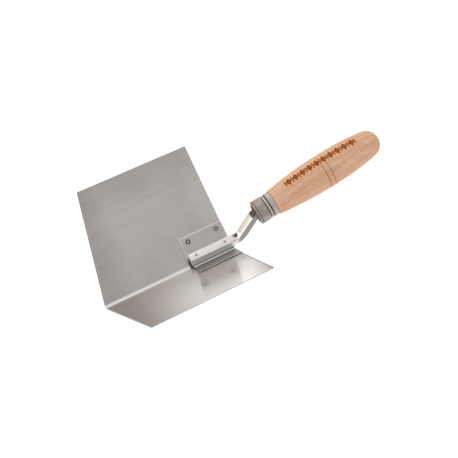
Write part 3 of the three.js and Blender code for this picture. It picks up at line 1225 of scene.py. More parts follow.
@dataclass(frozen=True)
class TrowelFrame:
    """The trowel's own frame, laid on the bench with its first leaf flat.

    Local X runs along the spine from the blade's front end to the handle, Z along the
    bisector of the leaves on the hollow side, and Y towards the first leaf.
    """

    mouth: Point2 = (169.3, 34.5)
    handle_rise: float = 11.2

    @property
    def place(self) -> Matrix:
        """Takes local millimetres to bench metres."""
        low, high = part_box("blade")
        origin = Vector((low.x, high.y - LEAF_WIDTH * MM, low.z + LEAF_SHEET * MM))
        turn = Matrix.Rotation(-LEAF_TILT, 4, "X")
        return Matrix.Translation(origin) @ turn @ Matrix.Scale(MM, 4)

    @property
    def handle_place(self) -> Matrix:
        """Takes millimetres of the handle's frame, X along its axis, to bench metres."""
        shift = Matrix.Translation(Vector((self.mouth[0], 0, self.mouth[1])))
        rise = Matrix.Rotation(-math.radians(self.handle_rise), 4, "Y")
        return self.place @ shift @ rise

    def on_leaf(self, along: float, above: float, side: int = 1) -> Vector:
        """Finds a point on a leaf.

        Args:
            along: Distance from the spine line.
            above: Height over the leaf's inner face.
            side: 1 for the first leaf and -1 for the second.

        Returns:
            The point as (Y, Z).
        """
        cos, sin = math.cos(LEAF_TILT), math.sin(LEAF_TILT)
        return Vector((side * (along * cos - above * sin), along * sin + above * cos))

    def on_handle(self, along: float, above: float = 0.0) -> Vector:
        """Finds a point near the handle's axis.

        Args:
            along: Distance along the axis from the ferrule's mouth.
            above: Distance above the axis.

        Returns:
            The point as (X, Z).
        """
        rise = math.radians(self.handle_rise)
        axis = Vector((math.cos(rise), math.sin(rise)))
        normal = Vector((-math.sin(rise), math.cos(rise)))
        return Vector(self.mouth) + axis * along + normal * above


# ---- Sub-assemblies ----


def hand_over(made: bpy.types.Object, finish: bpy.types.Material, slot: str, *nodes: str) -> None:
    """Dresses a finished piece, hides the CAD nodes that it replaces and attaches it to the body.

    Args:
        made: The piece.
        finish: Its material.
        slot: Not used.
        nodes: The CAD nodes that it replaces.
    """
    made.data.materials.clear()
    made.data.materials.append(finish)
    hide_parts(*nodes)
    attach(made, BODY)
    LOG.info("%s: %d faces, for %s", made.name, len(made.data.polygons), ", ".join(nodes))


@dataclass
class Blade:
    """One stainless sheet, folded along its spine, with slanted front edges."""

    at: TrowelFrame
    front_slant: float = 22.0
    fold_radius: float = 3.0
    corner_radius: float = 0.9
    edge_radius: float = 0.14
    fold_steps: int = 18
    far_middle: Point3 = (-1000.0, 0.0, 0.0)  # where the brushing's lay has its middle
    finish: SteelFinish = BladeFinish(
        name="brushed_sheet",
        tint=(0.495, 0.46, 0.42),
        patch_tint=(0.475, 0.415, 0.375),
        lay=Lay.ALONG_X,
        roughness=0.45,
        lay_depth=0.0008,
        patch_size=34.0,
        anisotropy=0.95,
        coat=1.0,
    )

    def section(self, above: float) -> list[Vector]:
        """Draws one face of the folded sheet across both leaves.

        Args:
            above: The face's height over the inner face; 0 or minus the sheet.

        Returns:
            The face's (Y, Z) points from the first leaf's edge to the second's.
        """
        fold = (0.0, above / math.cos(LEAF_TILT))
        return rounded_path([
            Corner(tuple(self.at.on_leaf(LEAF_WIDTH, above))),
            Corner(fold, self.fold_radius - above),
            Corner(tuple(self.at.on_leaf(LEAF_WIDTH, above, -1))),
        ], self.fold_steps)

    def front(self, point: Vector) -> float:
        """How far the sheared front edge stands back at a (Y, Z) point of the sheet."""
        out = abs(point.x) * math.cos(LEAF_TILT) + point.y * math.sin(LEAF_TILT)
        return self.front_slant * max(0.0, out) / LEAF_WIDTH

    def build(self) -> bpy.types.Object:
        """Builds the sheet."""
        shell = Shell()
        inner, outer = self.section(0.0), self.section(-LEAF_SHEET)
        loops = []
        for face in (inner, outer):
            loops.append(shell.ring([Vector((self.front(p), p.x, p.y)) for p in face]))
            loops.append(shell.ring([Vector((SPINE, p.x, p.y)) for p in face]))
        inner_front, inner_rear, outer_front, outer_rear = loops
        shell.bridge(inner_front, inner_rear, closed=False)
        shell.bridge(outer_front, outer_rear, closed=False)
        shell.bridge(inner_front, outer_front, closed=False)
        shell.bridge(inner_rear, outer_rear, closed=False)
        for end in (0, -1):
            shell.cap([inner_front[end], inner_rear[end], outer_rear[end], outer_front[end]])
        corners = {ring[end] for ring in loops for end in (0, -1)}
        shell.round_edges(
            lambda edge: set(edge.verts) <= corners and edge.calc_length() < 2 * LEAF_SHEET,
            self.corner_radius,
            CORNER_STEPS,
        )
        made = shell.place("blade_sheet", self.at.place)
        soften(made, self.edge_radius)
        self.lay_grain(made.data)
        return made

    def lay_grain(self, data: bpy.types.Mesh) -> None:
        """Makes the brushing run straight along the spine, whatever the leaf.

        A surface's lay circles the middle of its texture space, so a texture space whose
        middle is very far off along the spine gives lines that are as good as straight.

        Args:
            data: The sheet's mesh.
        """
        data.use_auto_texspace = False
        data.texspace_location = self.far_middle
        data.texspace_size = (1.0, 1.0, 1.0)

    def dress(self, made: bpy.types.Object) -> None:
        """Gives the sheet its brushed finish."""
        hand_over(made, self.finish.material(self.at.place), "blade_steel", "blade")


@dataclass
class Welds:
    """Spot welds: two through each flange of the bracket and two under the foot."""

    at: TrowelFrame
    radius: float = 2.1
    reach: float = 24.6
    stations: Point2 = (100.9, 132.6)
    sides: int = 40
    rim: float = 0.08
    rim_inside: float = 0.85  # the rim's inner edge, as a share of the radius
    dish: float = 0.16
    dish_edge: float = 0.78  # the dish's edge, as a share of the radius
    dish_steps: int = 4
    fresh: WeldFinish = WeldFinish("weld_heat_tint", (0.50, 0.44, 0.38), (0.085, 0.055, 0.038))
    faint: WeldFinish = WeldFinish("weld_faint_tint", (0.42, 0.36, 0.31), (0.24, 0.17, 0.135))
    plain: WeldFinish = WeldFinish("weld_plain", (0.40, 0.385, 0.37), (0.34, 0.325, 0.31))

    def flange_point(self, x: float, side: int, above: float) -> Vector:
        """A point of a flange weld's axis, at a height over the leaf."""
        point = self.at.on_leaf(self.reach, above, side)
        return Vector((x, point.x, point.y))

    def sites(self) -> dict[str, tuple[Vector, Vector]]:
        """Lists the welds.

        Returns:
            Each CAD node's name with its lower and upper ends.
        """
        ends = {}
        for station, x in zip(("front", "rear"), self.stations):
            for leaf, side in (("first", 1), ("second", -1)):
                ends[f"weld_{leaf}_leaf_{station}"] = (
                    self.flange_point(x, side, GAP),
                    self.flange_point(x, side, GAP + BRACKET_SHEET),
                )
            ends[f"weld_foot_{station}"] = (
                Vector((x, 0, CREST - BRACKET_SHEET)),
                Vector((x, 0, CREST + GAP + BRACKET_SHEET)),
            )
        return ends

    def axis_place(self, low: Vector, high: Vector) -> Matrix:
        """Takes millimetres along and around a weld's axis to bench metres."""
        turn = Vector((1, 0, 0)).rotation_difference(high - low).to_matrix().to_4x4()
        return self.at.place @ Matrix.Translation(low) @ turn

    def profile(self, height: float) -> list[Point2]:
        """Draws a nugget's profile: a flat bottom and a dished top with a raised rim.

        Args:
            height: The nugget's height.

        Returns:
            Its (along, radius) points.
        """
        shares = [step / self.dish_steps for step in range(self.dish_steps, 0, -1)]
        dished = [
            (
                height - self.dish * math.cos(math.pi / 2 * share) ** 2,
                self.radius * self.dish_edge * share,
            )
            for share in shares
        ]
        return [
            (0.0, 0.0),
            (0.0, self.radius - self.rim),
            (self.rim, self.radius),
            (height - self.rim, self.radius),
            (height, self.radius - self.rim),
            (height, self.radius * self.rim_inside),
            *dished,
            (height - self.dish, 0.0),
        ]

    def build(self) -> dict[str, bpy.types.Object]:
        """Builds every weld, with how far out each vertex is as an attribute."""
        made = {}
        for node, (low, high) in self.sites().items():
            shell = lathe(self.profile((high - low).length), self.sides)
            spread = [math.hypot(v.co.y, v.co.z) / self.radius for v in shell.mesh.verts]
            piece = shell.place(f"{node}_nugget", self.axis_place(low, high))
            carry(piece, self.fresh.spread_attribute, spread)
            smooth_shading(piece)
            made[node] = piece
        return made

    def cutters(self, before: float, after: float, named: str = "") -> list[bpy.types.Object]:
        """Builds the bodies that open the holes and pockets which the welds stand in.

        Args:
            before: How far a body starts below its weld.
            after: How far it ends above its weld.
            named: What a weld's node name has to hold; nothing chooses every weld.

        Returns:
            The bodies, with the frame's clearance all round.
        """
        radius = self.radius + GAP
        bodies = []
        for node, (low, high) in self.sites().items():
            if named in node:
                start = low - (high - low).normalized() * before
                length = (high - low).length + before + after
                shell = lathe([(0, 0), (0, radius), (length, radius), (length, 0)], self.sides)
                bodies.append(shell.place(f"{node}_hole", self.axis_place(start, high)))
        return bodies

    def dress(self, made: Mapping[str, bpy.types.Object]) -> None:
        """Gives the welds their heat tint: the second leaf's are plain, one is faint.

        Args:
            made: The welds by node name.
        """
        fresh, faint, plain = (
            finish.material(self.at.place) for finish in (self.fresh, self.faint, self.plain)
        )
        for node, piece in made.items():
            material = plain if "second" in node else fresh
            if node == "weld_first_leaf_rear":
                material = faint
            hand_over(piece, material, "weld_metal", node)


@dataclass
class Bracket:
    """A pressed saddle with a flat crest and a flange on each leaf."""

    at: TrowelFrame
    welds: Welds
    bend_radius: float = 0.5
    shoulder: tuple[float, float] = (0.9, 0.24)  # the crest's edge falls over this run and drop
    corner_radius: float = 0.3
    edge_radius: float = 0.4
    bend_steps: int = 6
    halo: float = 1.9  # a heat mark's halo, as a share of the weld's radius
    faint_mark: float = 0.45  # the rear mark's strength
    finish: SteelFinish = BracketFinish(
        name="pressed_sheet",
        tint=(0.52, 0.50, 0.475),
        patch_tint=(0.55, 0.53, 0.50),
        lay=Lay.ALONG_X,
        roughness=0.3,
        patch_size=9.0,
    )

    def face(self, above: float, crest: float) -> list[Vector]:
        """Draws one face of the saddle.

        Args:
            above: The flange face's height over the leaf.
            crest: The crest's height.

        Returns:
            The (Y, Z) points from one flange edge to the other.
        """
        run, drop = self.shoulder
        half = ((crest - drop) * math.cos(LEAF_TILT) - above) / math.sin(LEAF_TILT)
        return rounded_path([
            Corner(tuple(self.at.on_leaf(BRACKET_REACH, above))),
            Corner((half, crest - drop), self.bend_radius),
            Corner((half - run, crest), self.bend_radius),
            Corner((run - half, crest), self.bend_radius),
            Corner((-half, crest - drop), self.bend_radius),
            Corner(tuple(self.at.on_leaf(BRACKET_REACH, above, -1))),
        ], self.bend_steps)

    def build(self) -> bpy.types.Object:
        """Builds the saddle with its weld holes."""
        upper = self.face(GAP + BRACKET_SHEET, CREST)
        under = self.face(GAP, CREST - BRACKET_SHEET)
        shell = extrude_along_x([*upper, *reversed(under)], BRACKET_START, SPINE)
        flange = math.sin(LEAF_TILT) * BRACKET_REACH - BRACKET_SHEET
        shell.round_edges(
            lambda edge: not runs_along_x(edge)
            and edge.calc_length() < 2 * BRACKET_SHEET
            and min(vert.co.z for vert in edge.verts) > flange,
            self.corner_radius,
            CORNER_STEPS,
        )
        made = shell.place("bracket_saddle", self.at.place)
        cut(made, self.welds.cutters(before=1.0, after=1.0))
        soften(made, self.edge_radius)
        return made

    def dress(self, made: bpy.types.Object) -> None:
        """Gives the saddle its finish, with heat marks around the first flange's welds.

        Args:
            made: The saddle.
        """
        core = self.welds.radius
        marks = [
            HeatMark(high, core, core * self.halo, self.faint_mark if "rear" in node else 1.0)
            for node, (_, high) in self.welds.sites().items()
            if "first" in node
        ]
        material = self.finish.material(self.at.place, marks)
        hand_over(made, material, "bracket_steel", "mounting_bracket")


@dataclass
class Shank:
    """A square bar: the foot on the bracket, the gooseneck and the tang in the handle."""

    at: TrowelFrame
    welds: Welds
    bottom: float = CREST + GAP
    height: float = 7.6
    foot_width: float = 9.4
    neck_width: float = 8.4
    waist: tuple[float, float] = (142.0, 145.0)
    neck_corner: float = 148.6
    neck_rise: float = 50.3
    top_bends: Point2 = (9.0, 16.0)  # the radii into the neck and out of it
    bottom_bends: Point2 = (22.0, 3.0)
    tang_length: float = 78.0
    tang_tip: tuple[float, float] = (3.6, 3.2)
    edge_radius: float = 0.35
    end_radius: float = 0.4
    bend_steps: int = 16
    spacing: float = 2.0  # the longest step between two sections
    crease: float = 50.0
    weld_mark: float = 1.1
    weld_halo: float = 3.0
    finish: BarFinish = BarFinish(
        name="ground_bar",
        tint=(0.62, 0.595, 0.57),
        patch_tint=(0.57, 0.55, 0.525),
        lay=Lay.ALONG_X,
        roughness=0.2,
        lay_depth=0.0003,
        patch_size=6.0,
    )

    def long_edge(self, sign: int, bends: Point2) -> list[Vector]:
        """Draws the top or bottom edge of the bar's side view.

        Args:
            sign: 1 for the top edge and -1 for the bottom.
            bends: The radii where the foot turns into the neck and the neck into the tang.

        Returns:
            The (X, Z) points from the foot's front end to the tang's tip.
        """
        lower, upper = bends
        half = self.height / 2
        rise, axis_rise = math.radians(self.neck_rise), math.radians(self.at.handle_rise)
        neck = Vector((self.neck_corner, self.bottom + half))
        normal = Vector((-math.sin(rise), math.cos(rise)))
        foot = Vector((BRACKET_START, self.bottom + half + sign * half))
        on_neck = neck + normal * sign * half
        return rounded_path([
            Corner(tuple(foot)),
            Corner(tuple(crossing(foot, 0, on_neck, rise)), lower),
            Corner(
                tuple(crossing(on_neck, rise, self.at.on_handle(0, sign * half), axis_rise)),
                upper,
            ),
            Corner(tuple(self.at.on_handle(TANG_START, sign * half))),
            Corner(tuple(self.at.on_handle(self.tang_length, sign * self.tang_tip[1] / 2))),
        ], self.bend_steps)

    def half_width(self, x: float) -> float:
        """Finds half the bar's width.

        Args:
            x: The station along X.

        Returns:
            Half the width there, narrower past the waist and tapering along the tang.
        """
        tang = (self.at.on_handle(TANG_START).x, self.at.on_handle(self.tang_length).x)
        if x > tang[0]:
            share = (x - tang[0]) / (tang[1] - tang[0])
            return (self.neck_width + (self.tang_tip[0] - self.neck_width) * share) / 2
        share = min(1.0, max(0.0, (x - self.waist[0]) / (self.waist[1] - self.waist[0])))
        eased = share * share * (3 - 2 * share)
        return (self.foot_width + (self.neck_width - self.foot_width) * eased) / 2

    def stations(self) -> list[tuple[Vector, Vector]]:
        """Lists (bottom, top) pairs of (X, Z) points along the bar, closely spaced."""
        top = self.long_edge(1, self.top_bends)
        bottom = self.long_edge(-1, self.bottom_bends)
        pairs = [(bottom[0], top[0])]
        for before, after in zip(zip(bottom, top), zip(bottom[1:], top[1:])):
            parts = max(1, math.ceil((after[0] - before[0]).length / self.spacing))
            for part in range(1, parts + 1):
                pairs.append(tuple(b.lerp(a, part / parts) for b, a in zip(before, after)))
        return pairs

    def cross_section(self, low: Vector, high: Vector, inset: float) -> list[Vector]:
        """Draws the bar's rounded square section at one station.

        Args:
            low: The bottom edge's (X, Z) point.
            high: The top edge's (X, Z) point.
            inset: How much smaller the section is on every side.

        Returns:
            The section's points in the trowel's frame.
        """
        middle, up = (low + high) / 2, (high - low).normalized()
        tall = (high - low).length / 2 - inset
        wide = self.half_width(middle.x) - inset
        radius = min(self.edge_radius, tall / 2, wide / 2)
        points = []
        for quarter, angle in self.section_turns():
            across = -1 if quarter in (1, 2) else 1
            rise = -1 if quarter in (2, 3) else 1
            place = middle + up * (rise * (tall - radius) + radius * math.sin(angle))
            points.append(Vector((
                place.x, across * (wide - radius) + radius * math.cos(angle), place.y
            )))
        return points

    @staticmethod
    def section_turns() -> list[tuple[int, float]]:
        """Lists a section's points as its quarter and the angle that the point faces."""
        return [
            (quarter, math.pi / 2 * (quarter + step / CORNER_STEPS))
            for quarter in range(4)
            for step in range(CORNER_STEPS + 1)
        ]

    def build(self) -> bpy.types.Object:
        """Builds the bar by lofting its sections, with pockets for the foot's welds."""
        shell = Shell()
        first, *others = self.stations()
        rings = [*self.rounded_end(first), *((low, high, 0.0) for low, high in others)]
        loops = [shell.ring(self.cross_section(*ring)) for ring in rings]
        for before, after in zip(loops, loops[1:]):
            shell.bridge(before, after)
        shell.cap(loops[0])
        shell.cap(loops[-1])
        made = shell.place("shank_bar", self.at.place)
        sideways = [abs(math.cos(angle)) for _, angle in self.section_turns()]
        carry(made, self.finish.flank_attribute, sideways * len(loops))
        cut(made, self.welds.cutters(before=0.0, after=GAP, named="foot"))
        smooth_shading(made, self.crease)
        return made

    def rounded_end(self, station: tuple[Vector, Vector]) -> list[tuple[Vector, Vector, float]]:
        """Rounds the foot's front end.

        Args:
            station: The end's bottom and top points.

        Returns:
            Sections as (bottom, top, inset), from the end face to the full section.
        """
        rings = []
        for step in range(CORNER_STEPS, -1, -1):
            angle = math.pi / 2 * step / CORNER_STEPS
            back = Vector((self.end_radius * (1 - math.sin(angle)), 0))
            low, high = (point + back for point in station)
            rings.append((low, high, self.end_radius * (1 - math.cos(angle))))
        return rings

    def dress(self, made: bpy.types.Object) -> None:
        """Gives the bar its finish, with heat marks over the welds.

        Args:
            made: The bar.
        """
        top = self.bottom + self.height
        marks = [
            HeatMark(Vector((x, 0, top)), self.weld_mark, self.weld_halo)
            for x in self.welds.stations
        ]
        hand_over(made, self.finish.material(self.at.place, marks), "shank_steel", "shank")


@dataclass
class Ferrule:
    """A steel ferrule with a rolled mouth, a knurled groove and a rear collar."""

    at: TrowelFrame
    length: float = 20.85
    radius: float = 12.35
    bore: float = 10.8
    mouth_round: float = 1.6
    mouth_steps: int = 8
    lip_radius: float = 10.0
    lip_length: float = 1.3
    lip_chamfers: Point2 = (0.3, 0.15)  # in front and behind
    groove: Point2 = (11.2, 15.4)
    groove_depth: float = 1.25
    front_wall: Profile = ((-0.5, 0.0), (-0.15, 0.096), (0.15, 0.8), (0.4, 1.0))
    rear_wall: Profile = ((-0.4, 1.0), (-0.15, 0.8), (0.1, 0.12), (0.4, 0.0))
    ridge: float = 0.75
    ridge_half: Point2 = (0.6, 0.8)  # half its width at the crown and at the foot
    end_chamfer: float = 0.3
    teeth: int = 64
    tooth_root: float = 0.2
    tooth_half: Point2 = (0.3, 0.75)  # half its width and half its length, at the root
    tooth_height: float = 0.4
    tooth_taper: Point2 = (0.45, 0.7)
    sides: int = 128
    crease: float = 35.0
    washer_edge: float = 0.12
    finish: SteelFinish = FerruleFinish(
        name="turned_steel",
        tint=(0.34, 0.30, 0.28),
        patch_tint=(0.43, 0.385, 0.36),
        lay=Lay.TURNED,
        roughness=0.5,
        lay_depth=0.006,
        patch_size=5.0,
        streak=0.24,
        # Painted shade just behind the rolled mouth, a painted highlight on the groove's ridge, a
        # lighter band on the collar and painted shade in the groove either side of the ridge.
        rings=(
            Ring(1.9, 0.8, (0.14, 0.125, 0.115), 0.8),
            Ring(13.3, 1.0, (0.80, 0.74, 0.67)),
            Ring(18.4, 2.2, (0.56, 0.51, 0.465), 0.7),
            Ring(11.75, 0.5, (0.09, 0.075, 0.065)),
            Ring(14.85, 0.5, (0.09, 0.075, 0.065)),
        ),
    )
    # A dark finish that paints the shade inside the mouth onto the disc.
    disc_shade_finish: SteelFinish = SteelFinish(
        name="shade_painted_disc",
        tint=(0.14, 0.125, 0.115),
        patch_tint=(0.20, 0.18, 0.165),
        lay=Lay.TURNED,
        roughness=0.5,
    )

    def profile(self) -> list[Point2]:
        """Draws the ferrule's closed profile as (along, radius) points."""
        nose, inside = self.lip_chamfers
        angles = [math.pi / 2 * step / self.mouth_steps for step in range(self.mouth_steps + 1)]
        mouth = [
            (
                self.mouth_round * (1 - math.cos(angle)),
                self.radius - self.mouth_round * (1 - math.sin(angle)),
            )
            for angle in angles
        ]
        return [
            (self.lip_length, self.bore),
            (self.lip_length, self.lip_radius + inside),
            (self.lip_length - inside, self.lip_radius),
            (nose, self.lip_radius),
            (0.0, self.lip_radius + nose),
            *mouth,
            *self.groove_profile(),
            (self.length - self.end_chamfer, self.radius),
            (self.length, self.radius - self.end_chamfer),
            (self.length, self.bore),
        ]

    def groove_profile(self) -> list[Point2]:
        """Draws the groove and the ridge in it as (along, radius) points.

        Each wall is a list of runs from the groove's edge with shares of its depth.
        """
        middle = sum(self.groove) / 2
        floor = self.radius - self.groove_depth
        crown = floor + self.ridge
        top, foot = self.ridge_half
        front, rear = (
            [(edge + run, self.radius - share * self.groove_depth) for run, share in wall]
            for edge, wall in zip(self.groove, (self.front_wall, self.rear_wall))
        )
        ridge = [
            (middle - foot, floor),
            (middle - top, crown),
            (middle + top, crown),
            (middle + foot, floor),
        ]
        return [*front, *ridge, *rear]

    def tooth(self) -> bpy.types.Object:
        """Builds one small tapered tooth of the knurl, standing on the local X axis."""
        shell = Shell()
        wide, long = self.tooth_half
        thinner, shorter = self.tooth_taper
        ends = (
            (-self.tooth_root, wide, long),
            (self.tooth_height, wide * thinner, long * shorter),
        )
        root, crown = (
            shell.ring([
                Vector((height, y * half_wide, z * half_long))
                for y, z in ((-1, -1), (1, -1), (1, 1), (-1, 1))
            ])
            for height, half_wide, half_long in ends
        )
        shell.bridge(root, crown)
        shell.cap(root)
        shell.cap(crown)
        return shell.place("knurl_tooth", Matrix.Scale(MM, 4))

    def build_shell(self) -> bpy.types.Object:
        """Builds the ferrule and its knurl."""
        made = lathe(self.profile(), self.sides, closed=True).place(
            "ferrule_shell", self.at.handle_place
        )
        smooth_shading(made, self.crease)
        middle = sum(self.groove) / 2
        tooth = self.tooth()
        ring = self.at.handle_place @ Matrix.Translation(Vector((middle, 0, 0)))
        knurl = KnurlTree()
        knurl.attach(made, {
            "Teeth": self.teeth,
            "Ring Radius": (self.radius - self.groove_depth + self.ridge) * MM,
            "Ring Place": ring.to_translation(),
            "Ring Turn": Vector((ring @ Matrix.Rotation(math.pi / 2, 4, "Y")).to_euler()),
            "Tooth": tooth,
        })
        apply_modifiers(made)
        bpy.data.objects.remove(tooth)
        return made

    def build_washer(self) -> bpy.types.Object:
        """Builds the disc behind the mouth from a clean copy of its CAD node."""
        shell = Shell()
        shell.mesh.from_mesh(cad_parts["ferrule_washer"].data)
        bmesh.ops.remove_doubles(shell.mesh, verts=shell.mesh.verts, dist=SAME)
        made = shell.place("ferrule_disc", Matrix.Identity(4))
        soften(made, self.washer_edge)
        return made

    def dress(self, shell: bpy.types.Object, washer: bpy.types.Object) -> None:
        """Gives the ferrule its turned finish and the disc a dark one that paints the shade inside
        the mouth.

        Args:
            shell: The ferrule.
            washer: The disc in its mouth.
        """
        turned, dull = (
            finish.material(self.at.handle_place) for finish in (self.finish, self.disc_shade_finish)
        )
        hand_over(shell, turned, "ferrule_steel", "ferrule")
        hand_over(washer, dull, "ferrule_steel", "ferrule_washer")


class KnurlTree:
    """A Geometry Nodes tree that sets a ring of teeth on a turned piece."""

    INPUTS = (
        ("Geometry", "NodeSocketGeometry"),
        ("Teeth", "NodeSocketInt"),
        ("Ring Radius", "NodeSocketFloat"),
        ("Ring Place", "NodeSocketVector"),
        ("Ring Turn", "NodeSocketVector"),
        ("Tooth", "NodeSocketObject"),
    )

    def __init__(self) -> None:
        """Builds the tree."""
        self.tree = bpy.data.node_groups.new("knurl", "GeometryNodeTree")
        self.sockets = {
            name: self.tree.interface.new_socket(name, in_out="INPUT", socket_type=kind)
            for name, kind in self.INPUTS
        }
        self.tree.interface.new_socket(
            "Geometry", in_out="OUTPUT", socket_type="NodeSocketGeometry"
        )
        given = self.tree.nodes.new("NodeGroupInput").outputs
        circle = self._node("GeometryNodeMeshCircle", {
            "Vertices": given["Teeth"],
            "Radius": given["Ring Radius"],
        })
        place = self._node("GeometryNodeInputPosition", {})
        aim = self._node("FunctionNodeAlignRotationToVector", {"Vector": place.outputs[0]})
        aim.axis = "X"
        aim.pivot_axis = "Z"
        tooth = self._node("GeometryNodeObjectInfo", {"Object": given["Tooth"]})
        scatter = self._node("GeometryNodeInstanceOnPoints", {
            "Points": circle.outputs[0],
            "Instance": tooth.outputs["Geometry"],
            "Rotation": aim.outputs[0],
        })
        moved = self._node("GeometryNodeTransform", {
            "Geometry": scatter.outputs[0],
            "Translation": given["Ring Place"],
            "Rotation": given["Ring Turn"],
        })
        joined = self.tree.nodes.new("GeometryNodeJoinGeometry")
        self.tree.links.new(given["Geometry"], joined.inputs[0])
        self.tree.links.new(moved.outputs[0], joined.inputs[0])
        real = self._node("GeometryNodeRealizeInstances", {"Geometry": joined.outputs[0]})
        dressed = self._node("GeometryNodeSetMaterial", {"Geometry": real.outputs[0]})
        output = self.tree.nodes.new("NodeGroupOutput")
        self.tree.links.new(dressed.outputs[0], output.inputs[0])

    def _node(self, kind: str, inputs: Mapping[str, Any]) -> bpy.types.Node:
        """Adds a node.

        Args:
            kind: The node's type.
            inputs: What its inputs are linked to, by name.

        Returns:
            The node.
        """
        made = self.tree.nodes.new(kind)
        for name, socket in inputs.items():
            self.tree.links.new(socket, made.inputs[name])
        return made

    def attach(self, made: bpy.types.Object, values: Mapping[str, Any]) -> None:
        """Adds the tree to a piece as a modifier.

        Args:
            made: The turned piece.
            values: The tree's inputs by name.
        """
        modifier = made.modifiers.new("knurl", "NODES")
        modifier.node_group = self.tree
        for name, value in values.items():
            modifier[self.sockets[name].identifier] = value


@dataclass
class Handle:
    """A turned beech grip: a spigot in the ferrule, a swelling belly and a domed butt."""

    at: TrowelFrame
    spigot_radius: float = 10.5
    wood_start: float = 20.9
    neck_radius: float = 13.0
    neck_lead: Point2 = (19.6, 2.9)
    belly_at: float = 83.0
    belly_radius: float = 17.6
    belly_leads: tuple[float, float] = (24.6, 20.0)
    shoulder_at: float = 132.0
    shoulder_radius: float = 14.2
    shoulder_lead: Point2 = (-15.0, 2.4)
    dome_lead: Point2 = (6.3, -1.0)
    dome_crown: float = 9.2
    end: float = 144.5
    score_lines: Point2 = (77.8, 83.5)
    score_depth: float = 0.3
    score_steps: tuple[float, ...] = (-0.5, -0.3, -0.12, 0.0, 0.12, 0.3, 0.5)
    neck_chamfer: Profile = ((0.0, 0.25), (0.08, 0.08))  # run and drop at the wood's front rim
    bore: tuple[Point2, Point2] = ((TANG_START, 6.4), (79.0, 3.6))
    outline_steps: tuple[int, int, int] = (48, 36, 28)
    sides: int = 144
    crease: float = 50.0
    finish: BeechFinish = BeechFinish()

    def outline(self) -> list[Point2]:
        """Draws the visible wood's outline from the ferrule to the butt's middle."""
        neck = (self.wood_start, self.neck_radius)
        belly = (self.belly_at, self.belly_radius)
        shoulder = (self.shoulder_at, self.shoulder_radius)
        butt = (self.end, 0.0)
        before, after = self.belly_leads
        curves = (
            ((neck, belly), (self.neck_lead, (-before, 0.0))),
            ((belly, shoulder), ((after, 0.0), self.shoulder_lead)),
            ((shoulder, butt), (self.dome_lead, (0.0, self.dome_crown))),
        )
        swell, fall, dome = (
            bezier(ends, leads, steps)
            for (ends, leads), steps in zip(curves, self.outline_steps)
        )
        return [*swell, *fall[1:], *dome[1:]]

    def scored(self, outline: Profile) -> list[Point2]:
        """Cuts the turned lines into an outline.

        Args:
            outline: Points (along, radius).

        Returns:
            The outline with a round-bottomed notch at each line.
        """
        reach = max(self.score_steps)
        points = [p for p in outline if all(abs(p[0] - at) > reach for at in self.score_lines)]
        for at in self.score_lines:
            after = next(i for i, point in enumerate(outline) if point[0] > at)
            (x0, r0), (x1, r1) = outline[after - 1], outline[after]
            for step in self.score_steps:
                radius = r0 + (r1 - r0) * (at + step - x0) / (x1 - x0)
                depth = self.score_depth * math.cos(math.pi / 2 * step / reach) ** 2
                points.append((at + step, radius - depth))
        return sorted(points, key=lambda point: (point[0], -point[1]))

    def build(self) -> bpy.types.Object:
        """Builds the handle, drilled for the tang."""
        (start, wide), (deep, narrow) = self.bore
        profile = [
            (deep, 0.0),
            (deep, narrow),
            (start, wide),
            (start, self.spigot_radius),
            (self.wood_start, self.spigot_radius),
            *((self.wood_start + run, self.neck_radius - drop) for run, drop in self.neck_chamfer),
            *((x, r) for x, r in self.scored(self.outline()) if x > self.wood_start),
        ]
        made = lathe(profile, self.sides).place("beech_grip", self.at.handle_place)
        smooth_shading(made, self.crease)
        return made

    def dress(self, made: bpy.types.Object) -> None:
        """Gives the handle its oiled beech."""
        material = self.finish.material(self.at.handle_place, self.score_lines)
        hand_over(made, material, "beech", "handle")


# ---- Studio ----


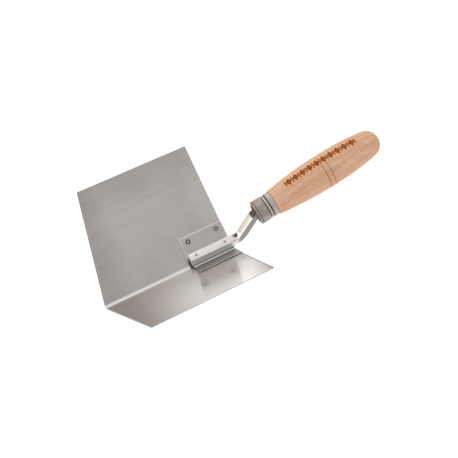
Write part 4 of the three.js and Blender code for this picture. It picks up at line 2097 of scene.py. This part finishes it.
@dataclass
class Studio:
    """A pale floor, soft light from all round and the camera."""

    floor_size: float = 6.0
    floor_drop: float = 0.05  # millimetres under the blade, so that the two don't touch
    floor_tint: Colour = (0.9, 0.9, 0.9)
    floor_dimmer: Colour = (0.891, 0.891, 0.891)
    floor_roughness: float = 0.9
    floor_patch: Point3 = (300.0, 300.0, 300.0)
    floor_glow: float = 0.42
    zenith: float = 0.72
    horizon: float = 1.25
    lean: Point2 = (-0.2, 0.18)  # how the light grows along X and Y
    camera_at: Point3 = (-0.19168, -0.03499, 0.74025)
    camera_forward: Point3 = (0.23766, 0.01574, -0.97122)
    camera_up: Point3 = (0.41048, 0.90458, 0.11511)
    lens: float = 59.1
    nearest: float = 0.01

    def build(self) -> None:
        """Builds the floor, the light and the camera."""
        self.build_floor()
        self.build_sky()
        self.build_camera()
        bpy.context.scene.view_settings.view_transform = "Standard"

    def build_floor(self) -> None:
        """Builds the floor just under the blade."""
        half = self.floor_size / 2
        shell = Shell()
        shell.cap(shell.ring([
            Vector((x * half, y * half, -self.floor_drop * MM))
            for x, y in ((-1, -1), (1, -1), (1, 1), (-1, 1))
        ]))
        floor = shell.place("floor", Matrix.Identity(4))
        graph = Graph("floor_paper")
        paper = graph.noise(graph.local(Matrix.Scale(MM, 4)), Noise(self.floor_patch))
        floor.data.materials.append(graph.surface(
            Base_Color=graph.mix(paper, self.floor_tint, self.floor_dimmer),
            Roughness=self.floor_roughness,
            Emission_Color=(1.0, 1.0, 1.0),
            Emission_Strength=self.floor_glow,
        ))

    def build_sky(self) -> None:
        """Builds a soft light, brighter near the horizon and on the far side."""
        world = bpy.data.worlds.new("studio")
        bpy.context.scene.world = world
        world.use_nodes = True
        kit = NodeKit(world.node_tree)
        direction = kit.node("ShaderNodeTexCoord").outputs["Generated"]
        aside, far, height = kit.split(direction)
        low = 1 - height.most(0.0)
        lean = 1 + aside * self.lean[0] + far * self.lean[1]
        level = self.zenith + low * (lean * self.horizon - self.zenith)
        background = world.node_tree.nodes["Background"]
        background.inputs["Color"].default_value = (1.0, 1.0, 1.0, 1.0)
        kit.feed(background.inputs["Strength"], level)

    def build_camera(self) -> None:
        """Builds the camera from where it stands, where it looks and which way is up."""
        forward = Vector(self.camera_forward).normalized()
        right = forward.cross(Vector(self.camera_up)).normalized()
        up = right.cross(forward)
        turn = Matrix((right, up, -forward)).transposed().to_4x4()
        data = bpy.data.cameras.new("camera")
        data.lens = self.lens
        data.clip_start = self.nearest
        camera = bpy.data.objects.new("camera", data)
        camera.matrix_world = Matrix.Translation(Vector(self.camera_at)) @ turn
        bpy.context.scene.collection.objects.link(camera)
        bpy.context.scene.camera = camera


def main() -> None:
    """Builds the trowel piece by piece, then the studio."""
    logging.basicConfig(level=logging.INFO, format="%(name)s: %(message)s")
    at = TrowelFrame()
    blade = Blade(at)
    blade.dress(blade.build())
    welds = Welds(at)
    welds.dress(welds.build())
    bracket = Bracket(at, welds)
    bracket.dress(bracket.build())
    shank = Shank(at, welds)
    shank.dress(shank.build())
    ferrule = Ferrule(at)
    ferrule.dress(ferrule.build_shell(), ferrule.build_washer())
    handle = Handle(at)
    handle.dress(handle.build())
    Studio().build()


if __name__ == "__main__":
    main()
